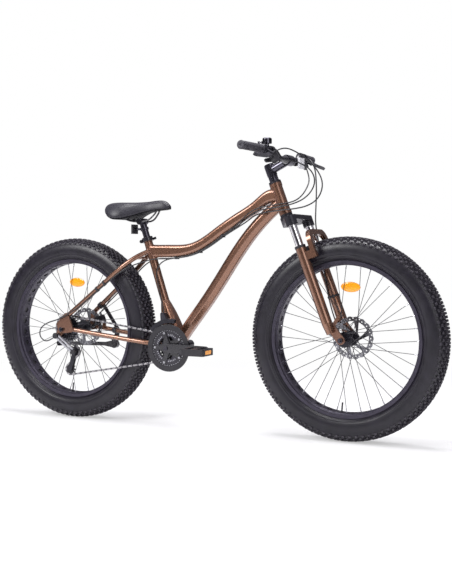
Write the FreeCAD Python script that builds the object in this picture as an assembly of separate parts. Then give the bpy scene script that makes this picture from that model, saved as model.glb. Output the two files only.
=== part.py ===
import FreeCAD, Part
import math
import os

os.makedirs("parts", exist_ok=True)
V = FreeCAD.Vector

# Fat tire bike in millimetres: +X is forward, +Z is up, the drive side is -Y.
# The origin is on the ground, midway between the axles.

# Clearances
FIT = 0.05          # radial room of a shaft, press fit or clamp
GAP = 0.4           # room between faces that move past each other
OVERRUN = 3.0       # how far a cutting solid runs past what it cuts
SAME = 1e-6         # two points closer than this are one point

# Layout of the bike
WHEELBASE = 1202.0
WHEEL_RADIUS = 375.0
BB_AHEAD = 491.0            # bottom bracket ahead of the rear axle
BB_DROP = 57.5
SEAT_ANGLE = 71.7
SEAT_TUBE_LENGTH = 457.0
HEAD_ANGLE = 69.1
HEAD_LENGTH = 123.0
FORK_LENGTH = 517.0         # axle to the lower face of the head tube, along the steering axis
FORK_OFFSET = 65.5
CHAIN_TIRE_ROOM = 13.0      # chain line outside the widest part of the tire

# Tire and inner tube
TIRE_HALF = 50.0
TIRE_SIDE_RADIUS = 322.0    # where the sidewall is widest
TIRE_WALL = 3.2
TREAD_HALF = 46.0
KNOB_HEIGHT = 8.0
KNOB_ROOT = 0.6
KNOB_COUNT = 60
TREAD_ROW_shares = ((-0.87, 0.13, 0.170), (-0.46, 0.16, 0.045), (0.0, 0.20, 0.0),
                    (0.46, 0.16, 0.045), (0.87, 0.13, 0.170))
KNOB_shares = (-0.34, -0.27, 0.27, 0.34)
TUBE_GAP = 0.5
TUBE_WALL = 1.2
TUBE_FLOOR_HALF = 13.0
VALVE_RADIUS = 3.0
VALVE_LENGTH = 44.0

# Rim
RIM_SEAT_RADIUS = 279.0
RIM_BORE_RADIUS = 271.0
RIM_FLANGE_RADIUS = 288.0
RIM_HALF = 37.0
RIM_WALL = 3.0
RIM_WELL_HALF = 22.0
RIM_SLOPE = 5.0
RIM_HOLE_COUNT = 36
RIM_HOLE_RADIUS = 10.5
STRIP_THICKNESS = 0.8
STRIP_HALF = 18.0

# Spokes and hubs
WHEEL_TURN = 4.5            # degrees
SPOKES_PER_SIDE = 18
SPOKE_CROSSES = 3
SPOKE_RADIUS = 1.1
SPOKE_LEAN_ROOM = 1.1       # an outer spoke's head off its flange, as it leans in past the edge
NIPPLE_RADIUS = 2.1
NIPPLE_LENGTH = 14.0
NIPPLE_RIM_ROOM = 1.2
SPOKE_RIM_OFFSET = 12.0
FLANGE_RADIUS = 29.0
FLANGE_THICKNESS = 3.5
FLANGE_HOLE_RADIUS = 25.5
BARREL_RADIUS = 15.0
HUB_END_RADIUS = 11.0
AXLE_RADIUS = 5.0
NUT_RADIUS = 9.5
NUT_LENGTH = 9.0
AXLE_TIP = 6.0              # axle past the nut
FRONT_HUB_HALF = 67.5
FRONT_FLANGE_AT = 34.0
REAR_FLANGE_RIGHT = 42.0
REAR_FLANGE_LEFT = 50.0

# Brake rotors and calipers
ROTOR_RADIUS = 80.0
ROTOR_WAVE = 2.2
ROTOR_WAVES = 18
ROTOR_THICKNESS = 2.0
ROTOR_TRACK = 13.0
ROTOR_HOLE_RADIUS = 2.6
ROTOR_HOLES = 36
ROTOR_CORE_RADIUS = 26.0
ROTOR_ARMS = 6
ROTOR_SEAT_RADIUS = 22.0
ROTOR_SEAT_LENGTH = 9.0
ROTOR_BORE_RADIUS = 17.0
ROTOR_BOLT_CIRCLE = 21.8
ROTOR_BOLT_RADIUS = 3.4
ROTOR_BOLT_HEAD = 2.2
ROTOR_WINDOW_share = 0.70
ROTOR_SLANT_share = 0.45
ROTOR_ROOM = 3.0
FRONT_ROTOR_INSET = 10.0    # rotor plane inside the hub end
REAR_ROTOR_INSET = 26.0
CALIPER_HALF = 15.0         # half length along the rotor's rim
CALIPER_INSIDE = 17.0       # body inside and outside the rotor's rim
CALIPER_OUTSIDE = 17.0
CALIPER_CORNER = 5.0
CALIPER_BRACKET_RADIUS = 7.0
CALIPER_BRACKET_THICKNESS = 9.0
CALIPER_OUTER = 13.0        # body outside the rotor plane
CALIPER_INNER = 13.0
CALIPER_SLOT = 8.0
PAD_RADIUS = 9.0
PAD_GAP = 0.5
CALIPER_ARM_LENGTH = 30.0
CALIPER_ARM_RADIUS = 7.0
CALIPER_ARM_TIP = 4.0
CALIPER_ARM_THICKNESS = 3.5
FRONT_CALIPER_ANGLE = 166.0
REAR_CALIPER_ANGLE = 24.0

# Frame tubes
SEAT_TUBE_RADIUS = 17.2
POST_RADIUS = 13.6
HEAD_RADIUS = 22.0
HEAD_LIP_RADIUS = 24.0
HEAD_LIP_LENGTH = 13.0
HEAD_BORE_RADIUS = 17.0
TUBE_WALL_FRAME = 2.2
TOP_TUBE_SEAT_AT = 399.0    # along the seat tube from the bottom bracket
TOP_TUBE_HEAD_AT = 74.0     # along the head tube from its lower face
TOP_TUBE_DEPTH = 46.0
TOP_TUBE_WIDTH = 37.0
TOP_TUBE_CORNER = 13.0
TOP_TUBE_LINE_shares = ((0.0, 0.0), (0.15, -0.054), (0.27, -0.0876), (0.376, -0.0905),
                        (0.52, -0.061), (0.70, -0.026), (0.834, -0.003), (1.0, 0.0))
TOP_TUBE_WIDTH_shares = (0.84, 0.95, 1.0, 1.0, 1.0, 1.0, 1.05, 1.08)
TOP_TUBE_DEPTH_shares = (1.17, 1.09, 0.94, 0.88, 0.87, 0.89, 0.97, 1.05)
DOWN_TUBE_HEAD_AT = 49.0
DOWN_TUBE_DEPTH = 47.0
DOWN_TUBE_WIDTH = 52.0
DOWN_TUBE_CORNER = 7.0
DOWN_TUBE_LINE_shares = ((0.0, 0.0), (0.325, 0.015), (0.497, 0.025), (0.648, 0.035),
                         (0.807, 0.033), (1.0, 0.0))
DOWN_TUBE_WIDTH_shares = (1.0, 1.0, 1.0, 0.98, 0.86, 0.64)
DOWN_TUBE_DEPTH_shares = (0.86, 1.0, 1.0, 1.0, 1.0, 0.95)
DOWN_TUBE_SECTION_shares = ((0.6, 1.0), (-0.6, 1.0), (-1.0, 0.45), (-1.0, -0.3),
                            (-0.5, -1.0), (0.5, -1.0), (1.0, -0.3), (1.0, 0.45))
YOKE_TOP_AT = 190.0
YOKE_MID_AT = 128.0
YOKE_FOOT_AT = 12.0
YOKE_MID_LENGTH = 58.0
YOKE_MID_WIDTH = 52.0
YOKE_FOOT_LENGTH = 66.0
YOKE_FOOT_WIDTH = 84.0
YOKE_CORNER = 15.0
SHELL_RADIUS = 22.0
SHELL_BORE_RADIUS = 18.0
SHELL_RING_ROOM = 14.0      # chain line outside the shell's end
STAY_RADIUS = 9.5
STAY_WALL = 1.8
STAY_DROPOUT_LAP = 2.5
CHAINSTAY_shares = ((0.037, -0.10, 0.08), (0.112, 0.0, 0.165), (0.194, 0.36, 0.25),
                    (0.285, 0.55, 0.34), (0.59, 0.77, 0.65), (0.91, 1.0, 1.0))
SEATSTAY_AT = 402.0
SEATSTAY_END_AHEAD = 22.0
SEATSTAY_END_UP = 57.0
SEATSTAY_shares = ((0.012, 0.13, 0.0), (0.114, 0.437, 0.016), (0.245, 0.69, 0.021),
                   (0.42, 0.80, 0.014), (0.711, 0.90, 0.007), (1.0, 1.0, 0.0))
BRIDGE_RADIUS = 6.0
BRIDGE_share = 0.20
DROPOUT_THICKNESS = 7.0
DROPOUT_ROOM = 5.0          # smallest cog to the dropout
DROPOUT_BOSS_RADIUS = 17.0
DROPOUT_END_RADIUS = 11.0
HANGER_BACK = 20.0
HANGER_DOWN = 26.0
HANGER_BOLT_RADIUS = 5.0
EYELET_RADIUS = 2.1
EYELET_BACK = 20.0
EYELET_UP = 20.0
EYELET_BOSS_RADIUS = 6.5
BOSS_FIRST_share = 0.42     # bottle bosses along the down tube
BOSS_PITCH = 64.0
BOSS_RADIUS = 6.5
BOSS_HEIGHT = 2.0
BOSS_BORE_RADIUS = 2.1

# Headset, steerer, stem and bar
CUP_LENGTH = 9.0
CUP_RADIUS = 23.5
CUP_INSERT = 12.0
STEERER_RADIUS = 14.3
STEERER_WALL = 2.6
SPACER_STACK = 24.0
SPACER_COUNT = 3
SPACER_RADIUS = 18.0
STEM_CLAMP_HEIGHT = 40.0
STEM_CLAMP_RADIUS = 19.5
STEM_AHEAD = 80.0
STEM_RISE = 8.0
STEM_BEAM_RADIUS = 15.5
BAR_CLAMP_RADIUS = 20.0
BAR_CLAMP_HALF = 23.0
FACEPLATE_SPLIT = 3.0
CAP_HEIGHT = 5.0
CAP_BOLT_RADIUS = 4.5
CAP_BOLT_HEAD = 3.0
BAR_MIDDLE_RADIUS = 15.9
BAR_MIDDLE_HALF = 30.0
BAR_TAPER_END = 62.0
BAR_KNEE_AT = 86.0
BAR_RADIUS = 11.1
BAR_WALL = 2.2
BAR_HALF = 330.0
BAR_BEND_AT = 112.0
BAR_RISE = 24.5
BAR_END_RISE = 29.0
BAR_BEND_BACK = 5.0
BAR_END_BACK = 40.0

# Grips and hand controls, measured inward from the bar's end
GRIP_LENGTH = 131.0
GRIP_RADIUS = 16.3
GRIP_END_WALL = 3.0
GRIP_END_HOLE = 4.0
BRAKE_CLAMP_AT = 134.0
BRAKE_CLAMP_WIDTH = 20.0
CLAMP_WALL = 5.0
LEVER_TILT = 33.0           # brake levers below the horizontal
LEVER_PIVOT_OUT = 36.0      # pivot from the bar's axis
LEVER_THICKNESS = 11.0
LEVER_BOSS_RADIUS = 9.0
LEVER_PIN_RADIUS = 2.5
LEVER_EAR = 3.5
LEVER_KNEE_OUT = 58.0
LEVER_KNEE_AT = 88.0
LEVER_TIP_OUT = 63.0
LEVER_TIP_AT = 14.0
LEVER_KNEE_RADIUS = 6.0
LEVER_TIP_RADIUS = 7.0
SHIFT_CLAMP_AT = 185.0
SHIFT_CLAMP_WIDTH = 15.0
SHIFT_TILT = 62.0
SHIFT_OUT = 31.0
SHIFT_RADIUS = 19.0
SHIFT_THICKNESS = 20.0
SHIFT_LEVER_THICKNESS = 5.0
SHIFT_LEVER_REACH = 44.0
SHIFT_LEVER_RADIUS = 7.0
SHIFT_HUB_RADIUS = 9.0
BELL_AT = 160.0
BELL_WIDTH = 14.0
BELL_RADIUS = 17.0
BELL_HEIGHT = 20.0
BELL_WALL = 1.6
BELL_CROWN = 5.0
BELL_FOOT_RADIUS = 7.0
BELL_FOOT = 6.0
STRIKER_LENGTH = 14.0
STRIKER_RADIUS = 2.6
STRIKER_KNOB_RADIUS = 4.5
FRONT_REFLECTOR_AT = 68.5   # from the bar's middle, to the left
FRONT_REFLECTOR_WIDTH = 46.0
FRONT_REFLECTOR_HEIGHT = 40.0
FRONT_REFLECTOR_DEPTH = 8.0
FRONT_REFLECTOR_DROP = 6.0
BRACKET_WIDTH = 9.0

# Suspension fork, heights below the lower face of the head tube
CROWN_DEPTH = 35.0
CROWN_SHOULDER = 17.0       # arms and clamps below the crown's middle
CROWN_MIDDLE_RADIUS = 27.0
CROWN_CLAMP_RADIUS = 21.5
CROWN_CLAMP_DEPTH = 54.0
STANCHION_RADIUS = 15.0
STANCHION_WALL = 2.5
STANCHION_SOCKET = 30.0
STANCHION_LENGTH = 280.0
LEG_SIDE_ROOM = 12.5        # tire to the inside of a leg
LEG_AHEAD = 41.0
LEG_RADIUS = 19.5
LEG_TOP = 152.0
LEG_BOTTOM = 482.0
LEG_FOOT_RADIUS = 15.0
LEG_BORE_BOTTOM = 424.0
WIPER_HEIGHT = 9.0
WIPER_RADIUS = 20.5
FORK_TIP_THICKNESS = 9.0
FORK_TIP_RADIUS = 15.0
ARCH_AHEAD = 76.0
ARCH_THICKNESS = 17.0
ARCH_TOP = 96.0
ARCH_TIRE_ROOM = 26.0
ARCH_FOOT_TOP = 172.0
ARCH_FOOT_BOTTOM = 202.0
ARCH_SHOULDER = 44.0

# Crankset and chain
CRANK_LENGTH = 170.0
CHAIN_PITCH = 12.7
RING_TEETH = (24, 34, 42)
RING_PITCH_Y = 7.0
RING_THICKNESS = 2.0
RING_BOLT_CIRCLE = 52.0
RING_TAB = 7.0              # ring inside its bolt circle
GRANNY_BOLT_CIRCLE = 32.0
TOOTH_HEIGHT = 4.0
TOOTH_ROOT = 3.6
TOOTH_shares = (-0.30, -0.13, 0.13, 0.30)
SPACER_PIN_RADIUS = 4.0
SPIDER_ARMS = 5
SPIDER_HUB_RADIUS = 22.0
SPIDER_TIP_RADIUS = 8.0
GUARD_RADIUS = 93.0
GUARD_BORE_RADIUS = 71.0
GUARD_THICKNESS = 3.0
SPINDLE_RADIUS = 8.5
CUP_DEPTH = 22.0
CUP_FLANGE = 3.0
CUP_FLANGE_RADIUS = 20.5
CRANK_BOSS_RADIUS = 18.0
CRANK_EYE_RADIUS = 14.0
CRANK_THICKNESS = 14.0
CRANK_GUARD_ROOM = 6.0
CRANK_BOLT_RADIUS = 9.0
CRANK_BOLT_HEAD = 3.5
PEDAL_SPINDLE_RADIUS = 6.0
PEDAL_ROOM = 15.0
PEDAL_WIDTH = 86.0
PEDAL_LENGTH = 96.0
PEDAL_HEIGHT = 26.0
PEDAL_RAIL = 11.0
PEDAL_BARREL_RADIUS = 11.5
PEDAL_CAP = 4.0
PEDAL_REFLECTOR_WIDTH = 46.0
PEDAL_REFLECTOR_HEIGHT = 14.0
PEDAL_REFLECTOR_DEPTH = 4.0
COG_TEETH = (28, 24, 22, 20, 18, 16, 14)
COG_PITCH_Y = 5.0
COG_THICKNESS = 2.0
COG_BODY_RADIUS = 19.0
COG_SEAT_RADIUS = 14.0
CHAIN_HALF_HEIGHT = 4.0
CHAIN_SLOT = 2.8            # between the chain's inner faces
CHAIN_PLATE = 1.9
CHAIN_PIN_RADIUS = 2.0
CHAIN_END_PITCHES = 2
JOCKEY_TEETH = 11
JOCKEY_THICKNESS = 2.0
JOCKEY_BOLT_RADIUS = 3.0
JOCKEY_HUB_RADIUS = 7.0
UPPER_JOCKEY_AHEAD = 37.0   # from the rear axle
UPPER_JOCKEY_DOWN = 92.0
LOWER_JOCKEY_AHEAD = 14.0
LOWER_JOCKEY_DOWN = 168.0

# Derailleurs
CAGE_GAP = 5.2              # chain plane to the inside of a cage plate
CAGE_THICKNESS = 2.0
CAGE_RADIUS = 9.0
KNUCKLE_RADIUS = 12.0
KNUCKLE_LENGTH = 20.0
P_KNUCKLE_RADIUS = 13.0
P_KNUCKLE_LENGTH = 15.0
LINK_RADIUS = 7.0
LINK_THICKNESS = 5.0
FRONT_MECH_AT = 112.0       # clamp along the seat tube above the yoke's foot
FRONT_CAGE_INNER_RADIUS = 97.0
FRONT_CAGE_DEPTH = 17.0
FRONT_CAGE_START = 78.0     # degrees round the bottom bracket
FRONT_CAGE_END = 142.0
FRONT_CAGE_GAP = 5.5
FRONT_CAGE_PLATE = 1.5
FRONT_MECH_RADIUS = 8.0
FRONT_MECH_BAND = 6.0
FRONT_MECH_HEIGHT = 24.0

# Seat
POST_WALL = 2.4
POST_INSERT = 150.0
POST_LENGTH = 218.0
COLLAR_HEIGHT = 17.0
COLLAR_WALL = 5.0
COLLAR_LUG = 11.0           # half length of the lug
COLLAR_LUG_OUT = 25.5       # lug axis behind the seat tube axis
COLLAR_LUG_RADIUS = 7.0
QR_RADIUS = 3.0
QR_HUB_RADIUS = 6.5
QR_THICKNESS = 9.0
QR_LENGTH = 46.0
QR_TIP_RADIUS = 4.5
QR_NUT = 4.0
QR_NUT_RADIUS = 5.0
QR_ELBOW = 12.0             # where the lever bends to pass the collar
QR_BLADE_RADIUS = 4.0
QR_ROOM = 1.0
SEAT_CLAMP_RADIUS = 13.0
SEAT_CLAMP_HALF = 26.0
RAIL_RADIUS = 3.5
RAIL_HALF = 22.0
RAIL_BACK = 88.0            # rail ends from the clamp
RAIL_AHEAD = 72.0
RAIL_LIFT_BACK = 18.0
RAIL_LIFT_AHEAD = 36.0
RAIL_FLAT = 38.0
SADDLE_NOSE = 128.0         # nose ahead of the clamp
SADDLE_LENGTH = 293.0
SADDLE_HALF = 88.0
SADDLE_TOP = 80.0           # above the rail clamp's middle
SADDLE_DEPTH = 70.0
SADDLE_BASE = 3.0
SADDLE_STATION_shares = ((0.0, 0.66, 0.90, 0.40), (0.06, 0.86, 0.97, 0.14), (0.20, 1.0, 1.0, 0.0),
                         (0.34, 0.90, 0.99, 0.12), (0.50, 0.56, 0.98, 0.42), (0.66, 0.33, 1.0, 0.56),
                         (0.82, 0.24, 1.05, 0.63), (0.94, 0.20, 1.04, 0.68), (1.0, 0.12, 0.95, 0.74))
SADDLE_SHOULDER_share = 0.68
SADDLE_CROWN_share = 0.20
REAR_REFLECTOR_WIDTH = 38.0
REAR_REFLECTOR_HEIGHT = 38.0
REAR_REFLECTOR_DEPTH = 9.0
REAR_REFLECTOR_BACK = 52.0
REAR_REFLECTOR_AT = 36.0    # above the seat tube's top
REAR_CLIP_HEIGHT = 10.0
REAR_CLIP_WALL = 3.5

# Kickstand on the left stays
STAND_CLAMP_UPPER_share = 0.57
STAND_CLAMP_LOWER_share = 0.40
STAND_CLAMP_WALL = 4.0
STAND_CLAMP_LENGTH = 16.0
STAND_STRUT_RADIUS = 7.0
STAND_PLATE = 6.0
STAND_PIVOT_AHEAD = 117.0   # from the rear axle
STAND_PIVOT_DOWN = 74.0
STAND_PIVOT_RADIUS = 17.0
STAND_PIN_RADIUS = 5.0
STAND_LEG_LENGTH = 292.0
STAND_LEG_RADIUS = 7.5
STAND_LEG_THICKNESS = 12.0
STAND_FOOT_RADIUS = 12.0
STAND_LEG_DROP = 8.0
STAND_NECK_share = 0.18

# Wheel reflectors
WHEEL_REFLECTOR_AT = 192.0
WHEEL_REFLECTOR_LENGTH = 75.0
WHEEL_REFLECTOR_HEIGHT = 36.0
WHEEL_REFLECTOR_DEPTH = 7.0

# Cable housings, and their routes from the controls
HOUSING_RADIUS = 2.5
BARREL_RADIUS_HAND = 3.6
BARREL_OUT = 21.0
BARREL_LENGTH = 10.0
CLIP_WALL = 1.6
CLIP_LENGTH = 8.0
CLIP_DEPTH = 9.0
CLIP_HALF = 13.0
TOP_CLIPS = (90, -10, -115)     # stations under the top tube
STAY_CLIP_shares = (0.30, 0.62) # stations along the straight of a seatstay
LEG_CLIPS = (225, 345)          # stations down the left fork leg
REAR_BRAKE_ROUTE = ((368, -170.1, 1050), (375, -146, 1056), (384, -112, 1069), (389, -64, 1074),
                    (404, -20, 1064), (431, 14, 1041), (474, 24, 996), (503, 4, 943), (495, -22, 890),
                    (458, -38, 862), (402, -43, 852), (346, -37, 849), (292, -29, 844), (240, -22, 835),
                    (196, -8, 809), (148, 8, 787), (90, 9, 754.8), (40, 9, 721.2), (-10, 9, 694),
                    (-60, 9, 677.6), (-115, 10, 669.4), (-168, 16, 667), (-215, 25, 667), (-262, 38, 656),
                    (-312, 63, 632), (-350, 71, 600), (-402, 77, 558), (-452, 82, 517), (-498, 86, 479),
                    (-524, 88, 452), (-537, 87.2, 438.2))
REAR_SHIFT_ROUTE = ((372.4, -123.6, 1032.8), (380, -98, 1031), (396, -64, 1029), (424, -28, 1021),
                    (452, 2, 1000), (466, 14, 966), (463, 4, 928), (440, -18, 892), (398, -34, 871),
                    (346, -36, 862), (292, -31, 856), (240, -24.5, 847), (196, -18, 818), (148, -2, 787),
                    (90, 0, 754.1), (40, 0, 720.5), (-10, 0, 693.3), (-60, 0, 677), (-115, -2, 668.6),
                    (-160, -13, 666), (-206, -27, 666), (-256, -40, 652), (-302, -68, 633),
                    (-345, -78, 606), (-402, -86, 560), (-455, -92, 519), (-508, -98, 477),
                    (-558, -109, 442), (-612, -117, 415), (-666, -112, 402), (-709, -106, 378),
                    (-714, -106, 343), (-685, -109, 322), (-654, -113.5, 329), (-632, -115.5, 342.2))
FRONT_SHIFT_ROUTE = ((378.7, 144.7, 1015.5), (388, 142, 994), (400, 122, 966), (405, 86, 938), (404, 46, 910),
                     (397, 6, 888), (378, -26, 876), (342, -34, 872), (292, -32, 866), (240, -25.5, 857),
                     (198, -24, 831), (148, -12, 789), (90, -9, 754.8), (40, -9, 721.2), (-10, -9, 694),
                     (-60, -9, 677.6), (-115, -10, 669.4), (-158, -17, 663), (-188, -24, 640),
                     (-197, -24, 600), (-183, -25, 548), (-168, -30, 500), (-153.6, -38, 455.1))
FRONT_BRAKE_ROUTE = ((368.3, 169.9, 1050), (379, 150, 1055), (402, 133, 1046), (424, 121, 1012),
                     (434, 108, 962), (440, 94, 908), (444, 78, 854), (448, 64, 804), (459, 57, 756),
                     (470, 57, 702), (481, 57, 642), (494, 58, 577), (504, 60, 522), (517, 65, 468),
                     (529.3, 72.6, 427.8))

# Places worked out from the layout
SIDES = (-1, 1)             # drive side, left side
ORIGIN = V(0, 0, 0)
ACROSS = V(0, 1, 0)
SEAT_UP = V(-math.cos(math.radians(SEAT_ANGLE)), 0, math.sin(math.radians(SEAT_ANGLE)))
STEER_UP = V(-math.cos(math.radians(HEAD_ANGLE)), 0, math.sin(math.radians(HEAD_ANGLE)))
STEER_AHEAD = V(STEER_UP.z, 0, -STEER_UP.x)
REAR_AXLE = V(-WHEELBASE / 2, 0, WHEEL_RADIUS)
FRONT_AXLE = V(WHEELBASE / 2, 0, WHEEL_RADIUS)
BB = REAR_AXLE + V(BB_AHEAD, 0, -BB_DROP)
HEAD_BOTTOM = FRONT_AXLE - STEER_AHEAD * FORK_OFFSET + STEER_UP * FORK_LENGTH
CHAIN_Y = -(TIRE_HALF + CHAIN_TIRE_ROOM)
SHELL_HALF = -CHAIN_Y - SHELL_RING_ROOM
DROPOUT_INNER = -CHAIN_Y + (len(COG_TEETH) - 1) * COG_PITCH_Y + DROPOUT_ROOM
DROPOUT_OUTER = DROPOUT_INNER + DROPOUT_THICKNESS
STAY_END_Y = DROPOUT_INNER - STAY_RADIUS + STAY_DROPOUT_LAP
FRONT_ROTOR_Y = FRONT_HUB_HALF - FRONT_ROTOR_INSET
REAR_ROTOR_Y = DROPOUT_INNER - REAR_ROTOR_INSET
LEG_Y = TIRE_HALF + LEG_SIDE_ROOM + LEG_RADIUS
STEM_BOTTOM = HEAD_LENGTH + CUP_LENGTH + GAP + SPACER_STACK
CROWN_TOP = CUP_LENGTH + GAP
STEERER_TOP = STEM_BOTTOM + STEM_CLAMP_HEIGHT


def on_seat_tube(along, ahead=0.0, side=0.0):
    return BB + SEAT_UP * along + V(SEAT_UP.z, 0, -SEAT_UP.x) * ahead + ACROSS * side


def on_steerer(ahead, side, up):
    return HEAD_BOTTOM + STEER_AHEAD * ahead + ACROSS * side + STEER_UP * up


BAR_CENTRE = on_steerer(STEM_AHEAD, 0, STEM_BOTTOM + STEM_CLAMP_HEIGHT / 2 + STEM_RISE)
SEAT_TOP = on_seat_tube(SEAT_TUBE_LENGTH)
SEAT_CLAMP = on_seat_tube(SEAT_TUBE_LENGTH - POST_INSERT + POST_LENGTH)


def unit(vector):
    return V(vector).normalize()


def mix(first, last, share):
    return first + (last - first) * share


def at_y(y):
    return lambda u, v: V(u, y, v)


def at_z(z):
    return lambda u, v: V(u, v, z)


def half_plane(radius, y):
    return V(radius, y, 0)


def cylinder(start, end, radius):
    return Part.makeCylinder(radius, (end - start).Length, start, end - start)


def cone(start, end, first, last):
    return Part.makeCone(first, last, (end - start).Length, start, end - start)


def ring(start, end, outer, inner):
    run = unit(end - start) * OVERRUN
    return cylinder(start, end, outer).cut(cylinder(start - run, end + run, inner))


def box(low, high):
    size = high - low
    return Part.makeBox(size.x, size.y, size.z, low)


def fuse(shapes):
    return shapes[0].fuse(shapes[1:]).removeSplitter()


def tangents(circles):
    """Angles at which a belt arrives at and leaves each circle (u, v, radius, turn)."""
    count = len(circles)
    arrive = [None] * count
    leave = [None] * count
    for index in range(count):
        u1, v1, r1, t1 = circles[index]
        u2, v2, r2, t2 = circles[(index + 1) % count]
        heading = math.atan2(v2 - v1, u2 - u1)
        heading -= math.asin((t2 * r2 - t1 * r1) / math.hypot(u2 - u1, v2 - v1))
        leave[index] = heading - t1 * math.pi / 2
        arrive[(index + 1) % count] = heading - t2 * math.pi / 2
    return arrive, leave


def belt(circles, to_space):
    """Closed line round circles: turn is 1 for left-hand arcs, -1 for right-hand ones."""
    count = len(circles)
    arrive, leave = tangents(circles)
    edges = []
    for index in range(count):
        u, v, radius, turn = circles[index]
        sweep = (leave[index] - arrive[index]) * turn % (2 * math.pi)
        angles = [arrive[index] + turn * sweep * share for share in (0.0, 0.5, 1.0)]
        points = [to_space(u + radius * math.cos(a), v + radius * math.sin(a)) for a in angles]
        if radius * sweep > SAME:
            edges.append(Part.Arc(*points).toShape())
        after = (index + 1) % count
        u, v, radius, turn = circles[after]
        start = to_space(u + radius * math.cos(arrive[after]), v + radius * math.sin(arrive[after]))
        edges.append(Part.LineSegment(points[2], start).toShape())
    return Part.Wire(edges)


def plate(circles, to_space, thickness):
    """Flat plate round circles (u, v, radius), listed left-hand round."""
    return Part.Face(belt([(u, v, r, 1) for u, v, r in circles], to_space)).extrude(thickness)


def plate_y(circles, y_first, y_last):
    return plate(circles, at_y(y_first), ACROSS * (y_last - y_first))


def round_y(circles):
    """Circles given as (point, radius) on the XZ plane."""
    return [(point.x, point.z, radius) for point, radius in circles]


def outline(steps, to_space):
    """Closed line: a step is a point, or a pair of a point on an arc and the arc's end."""
    here = to_space(*steps[0])
    edges = []
    for step in list(steps[1:]) + [steps[0]]:
        if isinstance(step[0], tuple):
            end = to_space(*step[1])
            edges.append(Part.Arc(here, to_space(*step[0]), end).toShape())
        else:
            end = to_space(*step)
            if (end - here).Length > SAME:
                edges.append(Part.LineSegment(here, end).toShape())
        here = end
    return Part.Wire(edges)


def turned(steps):
    """Solid of revolution about Y of an outline in (radius, y)."""
    return Part.Face(outline(steps, half_plane)).revolve(ORIGIN, ACROSS, 360)


def stepped(sections, bore):
    """Bored solid of revolution about Y, from (y_first, y_last, radius) sections in a row."""
    steps = [(bore, sections[0][0])]
    for first, last, radius in sections:
        steps += [(radius, first), (radius, last)]
    return turned(steps + [(bore, sections[-1][1])])


def holed(outer, holes, thickness):
    return Part.makeFace([outer] + holes, "Part::FaceMakerBullseye").extrude(thickness)


def circle(centre, radius, axis):
    return Part.Wire(Part.makeCircle(radius, centre, axis))


def toothed(teeth, root, tip, shares, y, phase=0.0):
    """Closed line of a toothed ring on the plane at y, with a tooth's middle at each pitch."""
    flat = tip / math.cos(2 * math.pi / teeth * shares[2])
    radii = (root, flat, flat, root)
    points = []
    for tooth in range(teeth):
        for share, radius in zip(shares, radii):
            angle = 2 * math.pi * (tooth + phase + share) / teeth
            points.append(V(radius * math.cos(angle), y, radius * math.sin(angle)))
    return Part.makePolygon(points + points[:1])


def rounded_path(points, reach=0.45):
    """Straight runs joined by tangent arcs, each as large as its runs allow, and the arcs' radii."""
    edges = []
    radii = []
    here = points[0]
    for before, corner, after in zip(points, points[1:], points[2:]):
        toward = unit(corner - before)
        away = unit(after - corner)
        turn = toward.getAngle(away)
        setback = reach * min((corner - before).Length, (after - corner).Length)
        radius = setback / math.tan(turn / 2)
        start = corner - toward * setback
        end = corner + away * setback
        inward = unit(away - toward)
        middle = corner + inward * (radius / math.cos(turn / 2) - radius)
        edges.append(Part.LineSegment(here, start).toShape())
        edges.append(Part.Arc(start, middle, end).toShape())
        radii.append(radius)
        here = end
    edges.append(Part.LineSegment(here, points[-1]).toShape())
    return Part.Wire(edges), radii


def pipe(points, radius):
    path, radii = rounded_path(points)
    first = path.Edges[0]
    section = circle(points[0], radius, first.tangentAt(first.FirstParameter))
    return path.makePipeShell([section], True, False)


def hollow_pipe(points, radius, wall):
    return pipe(points, radius).cut(pipe(points, radius - wall))


def section(centre, side, up, corners, radius):
    """Closed line round corners (across, upward) about centre, each rounded to radius."""
    points = [centre + side * w + up * h for w, h in corners]
    starts = []
    edges = []
    for index, corner in enumerate(points):
        toward = unit(corner - points[index - 1])
        away = unit(points[(index + 1) % len(points)] - corner)
        turn = toward.getAngle(away)
        setback = radius * math.tan(turn / 2)
        inward = unit(away - toward)
        middle = corner + inward * (radius / math.cos(turn / 2) - radius)
        starts.append((corner - toward * setback, middle, corner + away * setback))
    for index, (start, middle, end) in enumerate(starts):
        edges.append(Part.Arc(start, middle, end).toShape())
        edges.append(Part.LineSegment(end, starts[(index + 1) % len(starts)][0]).toShape())
    return Part.Wire(edges)


def rectangle(half_width, half_height):
    return ((half_width, half_height), (-half_width, half_height),
            (-half_width, -half_height), (half_width, -half_height))


def loft(wires):
    return Part.makeLoft(wires, True, False)


def put(shape, place):
    moved = shape.copy()
    moved.translate(place)
    return moved


def group(shapes):
    return Part.makeCompound(shapes)


def tread_rows():
    """Land radius and edges of each row of knobs."""
    rows = []
    for centre_share, half_share, drop_share in TREAD_ROW_shares:
        land = WHEEL_RADIUS - KNOB_HEIGHT - drop_share * TREAD_HALF
        first = (centre_share - half_share) * TREAD_HALF
        rows.append((land, first, first + 2 * half_share * TREAD_HALF))
    return rows


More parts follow.
